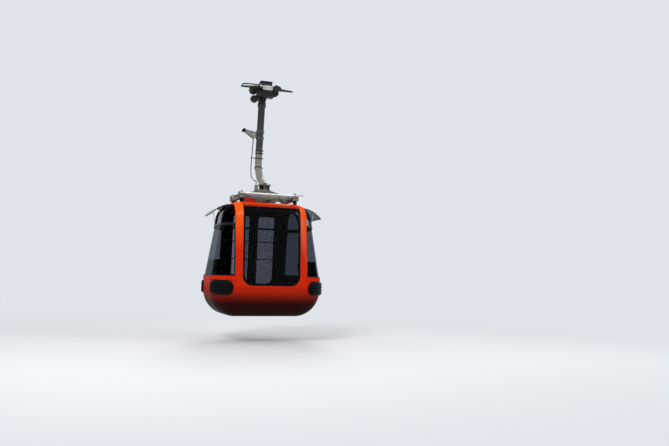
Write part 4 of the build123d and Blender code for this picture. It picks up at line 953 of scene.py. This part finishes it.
add_piece("frame_bolts", bolts, galvanised_beam, "cabin", 30)

# %% [markdown]
# The two long beams end at the top in a rolled bead, and the sun's reflection draws it as one
# bright line along the near beam. A rounded bar along the flange's edge gives the line its width.
# Its finish is a painted highlight: the grained recipe with a near-white zinc that is only partly
# metal, so that the line reads as pale as in the photograph.

# %% Rolled beads of the beams
bead_radius, bead_y, bead_half_length = 0.0125, 0.424, 0.526
# Painted highlight: a near-white, partly metal zinc for the sun's bright line on the bead.
highlight_zinc = grained(
    "highlight_zinc_bead", "#e9e7e0", "#fdfcf8", 0.008, 0.0002, 0.3, 0.4, metallic=0.25,
)
rims = []
for name, y_side in (("frame_beam_near", -1), ("frame_beam_far", 1)):
    rim_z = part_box(name)[1].z - bead_radius
    xs = (-bead_half_length, -0.3, 0.0, 0.3, bead_half_length)
    rims.append(tube_along([(x, bead_y * y_side, rim_z) for x in xs], bead_radius, 14))
add_piece("beam_beads", rims, highlight_zinc, "cabin", 50)

# %% [markdown]
# The grip clamps the rope by two strong coil springs. A coil is a tube along a helix, its turns
# closer at both ends as in real ground springs, round a rod with a plate at each end.

# %% Clamp springs
spring_x, spring_z = 0.052, 0.108
coil_from_y, coil_to_y, coil_turns = 0.046, 0.180, 6.5
wire, coil_radius, end_closing = 0.0068, 0.0345, 0.35
rod_profile = [(0.012, 0.0), (0.013, 0.002), (0.013, 0.15), (0.012, 0.152)]
plate_profile = [(0.038, 0.0), (0.041, 0.0015), (0.041, 0.0065), (0.038, 0.008)]
springs = []
for side in (-1, 1):
    helix = []
    for t in evenly(0.0, 1.0, 156):
        eased = t - math.sin(2 * math.pi * t) / (2 * math.pi)
        turn = 2 * math.pi * coil_turns * t
        helix.append((
            side * spring_x + coil_radius * math.cos(turn),
            coil_from_y + (coil_to_y - coil_from_y) * (eased * end_closing + t * (1 - end_closing)),
            spring_z + coil_radius * math.sin(turn),
        ))
    springs.append(tube_along(helix, wire, 8))
    for profile, from_y, sides in (
        (rod_profile, 0.037, 16), (plate_profile, 0.0365, 28), (plate_profile, 0.181, 28),
    ):
        springs.append(turned(profile, (side * spring_x, from_y, spring_z), (0, 1, 0), sides))
coil_springs = add_piece("coil_springs", springs, oiled_cast_steel, "grip", 35)
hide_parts("clamp_springs")

# %% [markdown]
# The tongues lead the rope's guide rollers over the grip. Each is a tapered half shell over the
# rope, deepest at the grip. A round bar rises over the left one, and a sloping guard over the
# right one. A shell comes from half circles whose outer radius shrinks along X.

# %% Rope tongues
rope_radius, tongue_reach, grip_end = 0.0205, 0.484, 0.149
shell_radii = (
    (grip_end, 0.052), (0.2, 0.047), (0.262, 0.041), (0.3, 0.034), (0.42, 0.028),
    (tongue_reach - 0.006, 0.0245), (tongue_reach, 0.022),
)
bore_radii = [(x, rope_radius) for x, _ in shell_radii]
half_turns = evenly(0.0, math.pi, 14)
tongues = [
    ribbon([
        [(side * x, radius * math.cos(turn), radius * math.sin(turn)) for x, radius in radii]
        for radii, turns in ((shell_radii, half_turns), (bore_radii, half_turns[::-1]))
        for turn in turns
    ])
    for side in (-1, 1)
]
bar_line = (
    (-grip_end, 0.066), (-0.24, 0.066), (-0.4, 0.061), (-0.44, 0.056), (-0.455, 0.048),
    (-0.464, 0.034), (-0.466, 0.0285),
)
tongues.append(tube_along([(x, 0.0, z) for x, z in bar_line], 0.0115, 12))
guard_stations = (
    (grip_end, 0.094, 0.032), (0.19, 0.09, 0.032), (0.235, 0.075, 0.028), (0.262, 0.058, 0.02),
)
guard_foot, guard_fall = 0.036, 0.014
guard = [
    [(x, share * half, z - drop) for x, z, half in guard_stations]
    for share, drop in ((-1, guard_fall), (-0.6, 0.0), (0.6, 0.0), (1, guard_fall))
]
guard += [[(x, share * half, guard_foot) for x, _, half in guard_stations] for share in (0.8, -0.8)]
tongues.append(ribbon(guard))
rope_guides = add_piece("rope_guides", tongues, oiled_cast_steel, "grip", 40)
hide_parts("rope_tongues")

# %% [markdown]
# Clamped collars sit on the tube: two close together, one where the bend starts, and one that
# carries an arm with an eye for the door cable. Each has a lug with its clamping bolt. Their
# places follow the tube's middle line, which is straight down to the bend and an arc from there.

# %% Collars of the tube
run_top, run_foot = Vector((0, 0.372, -0.168)), Vector((0, 0.512, -1.395))
run_way = (run_foot - run_top).normalized()
bend_middle, bend_radius = Vector((0, 0.26185, -1.3199)), 0.240
clip_z, cable_at_clip = -1.2015, Vector((-0.1352, 0.4803, -1.2015))
cable_way = (0.02, 0.1, -0.99)


def tube_place(z):
    """The tube's middle point and direction at a height."""
    if z > bend_middle.z + 0.027:
        return run_top + run_way * ((z - run_top.z) / run_way.z), run_way
    rise = math.asin((z - bend_middle.z) / bend_radius)
    middle = bend_middle + Vector((0, math.cos(rise), math.sin(rise))) * bend_radius
    return middle, Vector((0, math.sin(rise), -math.cos(rise)))


def ring_profile(inner, shoulder, outer, half, chamfer=0.0015):
    """A collar's section as (radius, height) pairs, with both outer edges chamfered."""
    return [
        (inner, -half), (shoulder, -half), (outer, chamfer - half),
        (outer, half - chamfer), (shoulder, half), (inner, half),
    ]


collars, lug_bolts = [], []
for z in (-1.058, -1.107, clip_z, -1.385):
    place, way = tube_place(z)
    collars.append(turned(ring_profile(0.0642, 0.0715, 0.073, 0.008), place, way, 40))
    collars.append(bevelled_block(
        place + Vector((0.066, -0.011, -0.008)), place + Vector((0.09, 0.011, 0.008)), 0.002
    ))
    lug_bolts += hex_bolts((place.x + 0.08,), (place.y - 0.011,), (place.z,), (0, -1, 0), 0.011)
place, _ = tube_place(clip_z)
arm_reach = (cable_at_clip - place).length
arm_way = (cable_at_clip - place).normalized()
arm_side = arm_way.cross(Vector((0, 0, 1))).normalized()
arm_rise = Vector((0, 0, 0.005))
arm = ((0.069, 0.012), (0.09, 0.008), (arm_reach - 0.009, 0.007))
collars.append(ribbon([
    [place + arm_way * reach + arm_side * half * across + arm_rise * rise for reach, half in arm]
    for across, rise in ((1, 1), (-1, 1), (-1, -1), (1, -1))
]))
collars.append(turned(ring_profile(0.0082, 0.0128, 0.014, 0.009), cable_at_clip, cable_way, 20))
tube_collars = add_piece("tube_collars", collars, black_profile, "cabin", 40)
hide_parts("tube_bands")
add_piece("collar_bolts", lug_bolts, zinc_plated_bolts, "cabin", 30)

# %% [markdown]
# The lever's roller turns on a pin with a black cap on each arm. A weld bead rings the hanger
# under its head and another at its foot: a thin tube along a circle whose radius steps a little
# from point to point, like the ripples of a weld.

# %% Roller caps and weld beads
cap_profile = [
    (0.029, 0.0), (0.031, 0.002), (0.031, 0.007), (0.027, 0.0095), (0.012, 0.0095),
    (0.011, 0.0125), (0.002, 0.013),
]
caps = [
    turned(cap_profile, (-0.312, y, -0.700), (0, y_way, 0), 28)
    for y, y_way in ((0.3986, -1), (0.4668, 1))
]
add_piece("roller_caps", caps, moulded_rubber, "cabin", 40)
head_weld_z, foot_weld_z, weld_ripple = -0.2435, -1.7585, 0.0011
head_place, head_way = tube_place(head_weld_z)
foot_place, foot_way = Vector((0, 0.0155, foot_weld_z)), Vector((0, -0.12, -0.99)).normalized()
welds = []
for place, way, radius in ((head_place, head_way, 0.0655), (foot_place, foot_way, 0.066)):
    ring = circle(place, way, [radius + weld_ripple * (k % 3) for k in range(72)])
    welds.append(tube_along(ring, 0.005, 8, True))
add_piece("weld_beads", welds, galvanised_aged_shaded, "cabin", 60)

# %% [markdown]
# Bright bolts on the front of the grip are the lightest spots of the photograph's dark casting.
# Two of them are domed cap nuts. Hexagon bolts hold the front plate, the wheels on their axles,
# the friction plate and the cheeks of the hanger's pin.

# %% Bolts of the grip
nut_profile = [
    (0.021, 0.0), (0.021, 0.003), (0.0175, 0.004), (0.0175, 0.009), (0.0145, 0.0145),
    (0.008, 0.0175), (0.001, 0.0185),
]
low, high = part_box("front_plate")
nuts = [
    turned(nut_profile, (x, y, 0.045), (0, -1, 0), 24)
    for x, y in ((-0.122, -0.034), (0.006, low.y))
]
add_piece("cap_nuts", nuts, turned_steel, "grip", 40)
grip_bolts = hex_bolts((-0.078, 0.078), (low.y,), (low.z + 0.014,), (0, -1, 0), 0.012)
axle_end_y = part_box("wheel_axles")[1].y - 0.0005
for name in ("running_wheel_left", "running_wheel_right", "guide_roller"):
    low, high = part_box(name)
    middle = (low + high) / 2
    grip_bolts += hex_bolts((middle.x,), (axle_end_y,), (middle.z,), (0, 1, 0), 0.028)
plate_under_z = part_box("friction_plate")[1].z - 0.0118
grip_bolts += hex_bolts((-0.085, 0.085), (0.05, 0.182), (plate_under_z,), (0, 0, -1), 0.012)
for y, z in ((0.29, 0.061), (0.454, 0.044)):
    grip_bolts += hex_bolts((-0.06, 0.06), (y,), (z,), upwards, 0.016)
add_piece("grip_bolts", grip_bolts, zinc_plated_bolts, "grip", 30)

# %% [markdown]
# Through the panes show the benches. Their seats are dark mouldings with pale slats, which are
# plain bevelled blocks set side by side.

# %% Bench slats
slat_from_x, slat_pitch, slat_width = 0.548, 0.062, 0.05
seat_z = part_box("benches")[1].z
slat_top_z = seat_z + 0.009
slats = []
for side in (-1, 1):
    for index in range(5):
        near_x = slat_from_x + slat_pitch * index
        from_x, to_x = sorted((side * near_x, side * (near_x + slat_width)))
        slats.append(bevelled_block((from_x, -0.5, seat_z), (to_x, 0.5, slat_top_z), 0.003))
add_piece("bench_slats", slats, bench_slat_moulding, "cabin", 50)

# %% [markdown]
# The door side has its own fastenings. A rubber lip runs down the meeting edge of each leaf and
# closes the slot between them, a thinner one seals the outer edge, and hexagon bolts hold the
# rail's feet to the roof.

# %% Lips of the leaves and bolts of the rail
lip_section = (
    (0.0085, 0.0495), (0.0025, 0.0485), (0.0012, 0.0445), (0.0012, 0.0355), (0.0085, 0.0325),
)
outer_section = ((0.5335, 0.0175), (0.5385, 0.0165), (0.5385, 0.0125), (0.5335, 0.0115))
lip_levels = evenly(-4.0, leaf_top_z + 0.02, 40)
for side, word in ((-1, "left"), (1, "right")):
    lips = [
        ribbon([[skin_point(side * x, z, 1, out) for z in lip_levels] for x, out in section])
        for section in (lip_section, outer_section)
    ]
    add_piece("leaf_lip_" + word, lips, seal_rubber, "door_" + word, 50)
rail_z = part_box("door_rail")[1].z + 0.0005
rail_bolts = hex_bolts((-0.64, -0.24, 0.2, 0.6), (0.5665,), (rail_z,), (0, -0.25, 1), 0.013)
add_piece("rail_bolts", rail_bolts, zinc_plated_bolts, "cabin", 30)

# %% [markdown]
# The roof is a moulding with shallow stiffening ribs, and screws go along the hem of the headers.
# The ribs are long rounded bars let into the roof's flat top, a little lower at both ends.

# %% Roof ribs and panel screws
rib_half, rib_rise, rib_sunk, rib_radius = 0.43, 0.004, 0.0035, 0.011
rib_line = [
    (rib_half * (2 * t - 1), roof_z - rib_sunk + rib_rise * max(0.0, math.sin(math.pi * t)) ** 0.4)
    for t in evenly(0.0, 1.0, 20)
]
ribs = [tube_along([(x, y, z) for x, z in rib_line], rib_radius, 12) for y in (-0.2, 0.0, 0.2)]
add_piece("roof_ribs", ribs, coach_paint_roof, "cabin", 60)
screw_profile = [(0.007, 0.0), (0.0068, 0.0014), (0.004, 0.0028), (0.0008, 0.003)]
screw_z, screw_sunk, tilt_step = -2.2065, -0.0005, 0.005
screws = []
for y_side in (-1, 1):
    for x in (-0.44, -0.22, 0.0, 0.22, 0.44):
        place = skin_point(x, screw_z, y_side, screw_sunk)
        up_the_skin = skin_point(x, screw_z + tilt_step, y_side, screw_sunk) - place
        away = up_the_skin.cross(Vector((1, 0, 0))) * y_side
        if away.y * y_side < 0:
            away = -away
        screws.append(turned(screw_profile, place, away, 14))
add_piece("panel_screws", screws, zinc_plated_bolts, "cabin", 40)

# %% [markdown]
# The scene is a plain studio with a pale floor some way under the hanging cabin. Far from the
# cabin the floor glows in the backdrop's colour where the camera or a pane looks at it, so that
# it has no edge, and near the cabin it keeps the shadow. It is clear from its underside, so that
# a camera below it still sees the cabin.

# %% Floor and its material
floor_z = -4.55
backdrop_colour = linear("#dfe4ea")
floor_mesh = bpy.data.meshes.new("studio_floor")
floor_corners = ((-60, -60), (60, -60), (60, 90), (-60, 90))
floor_mesh.from_pydata([(x, y, floor_z) for x, y in floor_corners], [], [(0, 1, 2, 3)])
studio_floor = bpy.data.objects.new("studio_floor", floor_mesh)
scene.collection.objects.link(studio_floor)
pale_floor, tree, where = new_surface("pale_floor", Base_Color=linear("#e8e9ea"), Roughness=0.9)
level = add_node(tree, "VectorMath", {0: where, 1: (1, 1, 0)}, operation="MULTIPLY")[0]
distance = add_node(tree, "VectorMath", {0: level}, operation="LENGTH")["Value"]
away = add_node(tree, "MapRange", {0: distance, 1: 2.5, 2: 9.0}, interpolation_type="SMOOTHSTEP")[0]
rays = add_node(tree, "LightPath")
seen = add_node(tree, "Math", {
    0: rays["Is Camera Ray"], 1: rays["Is Transmission Ray"],
}, operation="MAXIMUM")[0]
share = add_node(tree, "Math", {0: away, 1: seen}, operation="MULTIPLY")[0]
glow = add_node(tree, "Emission", {0: backdrop_colour, 1: 1.0})[0]
matt = tree.nodes["Principled BSDF"].outputs[0]
mixed = add_node(tree, "MixShader", {0: share, 1: matt, 2: glow})[0]
clear = add_node(tree, "BsdfTransparent")[0]
below = add_node(tree, "NewGeometry")["Backfacing"]
one_sided = add_node(tree, "MixShader", {0: below, 1: mixed, 2: clear})[0]
tree.links.new(one_sided, tree.nodes["Material Output"].inputs["Surface"])
floor_mesh.materials.append(pale_floor)
print("floor", round(tub_foot_z - floor_z, 2), "m under the tub")

# %% [markdown]
# The world is pale where the camera, a reflection or a pane looks at it, and dimmer as a lamp. A
# large soft lamp stands at the front left, a weaker one on the right and one behind.

# %% World and lamps
world = bpy.data.worlds.new("studio_world")
scene.world = world
world.use_nodes = True
tree = world.node_tree
rays = add_node(tree, "LightPath")
shown = add_node(tree, "Math", {
    0: rays["Is Camera Ray"], 1: rays["Is Transmission Ray"],
}, operation="MAXIMUM")[0]
shown = add_node(tree, "Math", {0: shown, 1: rays["Is Glossy Ray"]}, operation="MAXIMUM")[0]
lamp_side = add_node(tree, "Background", {0: linear("#eef2f7"), 1: 0.55})[0]
seen_side = add_node(tree, "Background", {0: backdrop_colour, 1: 1.0})[0]
both = add_node(tree, "MixShader", {0: shown, 1: lamp_side, 2: seen_side})[0]
tree.links.new(both, tree.nodes["World Output"].inputs["Surface"])

lamp_size, lamp_aim = 5.0, Vector((0, 0, -2.4))
lamps = (
    ("soft_key", (-6.5, -8.5, 4.0), 900), ("soft_fill", (8.0, -6.0, 0.0), 260),
    ("soft_back", (3.0, 9.0, 5.0), 420),
)
for name, place, power in lamps:
    lamp = bpy.data.lights.new(name, "AREA")
    lamp.shape, lamp.size, lamp.energy = "DISK", lamp_size, power
    holder = bpy.data.objects.new(name, lamp)
    scene.collection.objects.link(holder)
    holder.location = place
    holder.rotation_euler = (lamp_aim - Vector(place)).to_track_quat("-Z", "Y").to_euler()
    print(name, power, "W")
scene.view_settings.view_transform = "Standard"
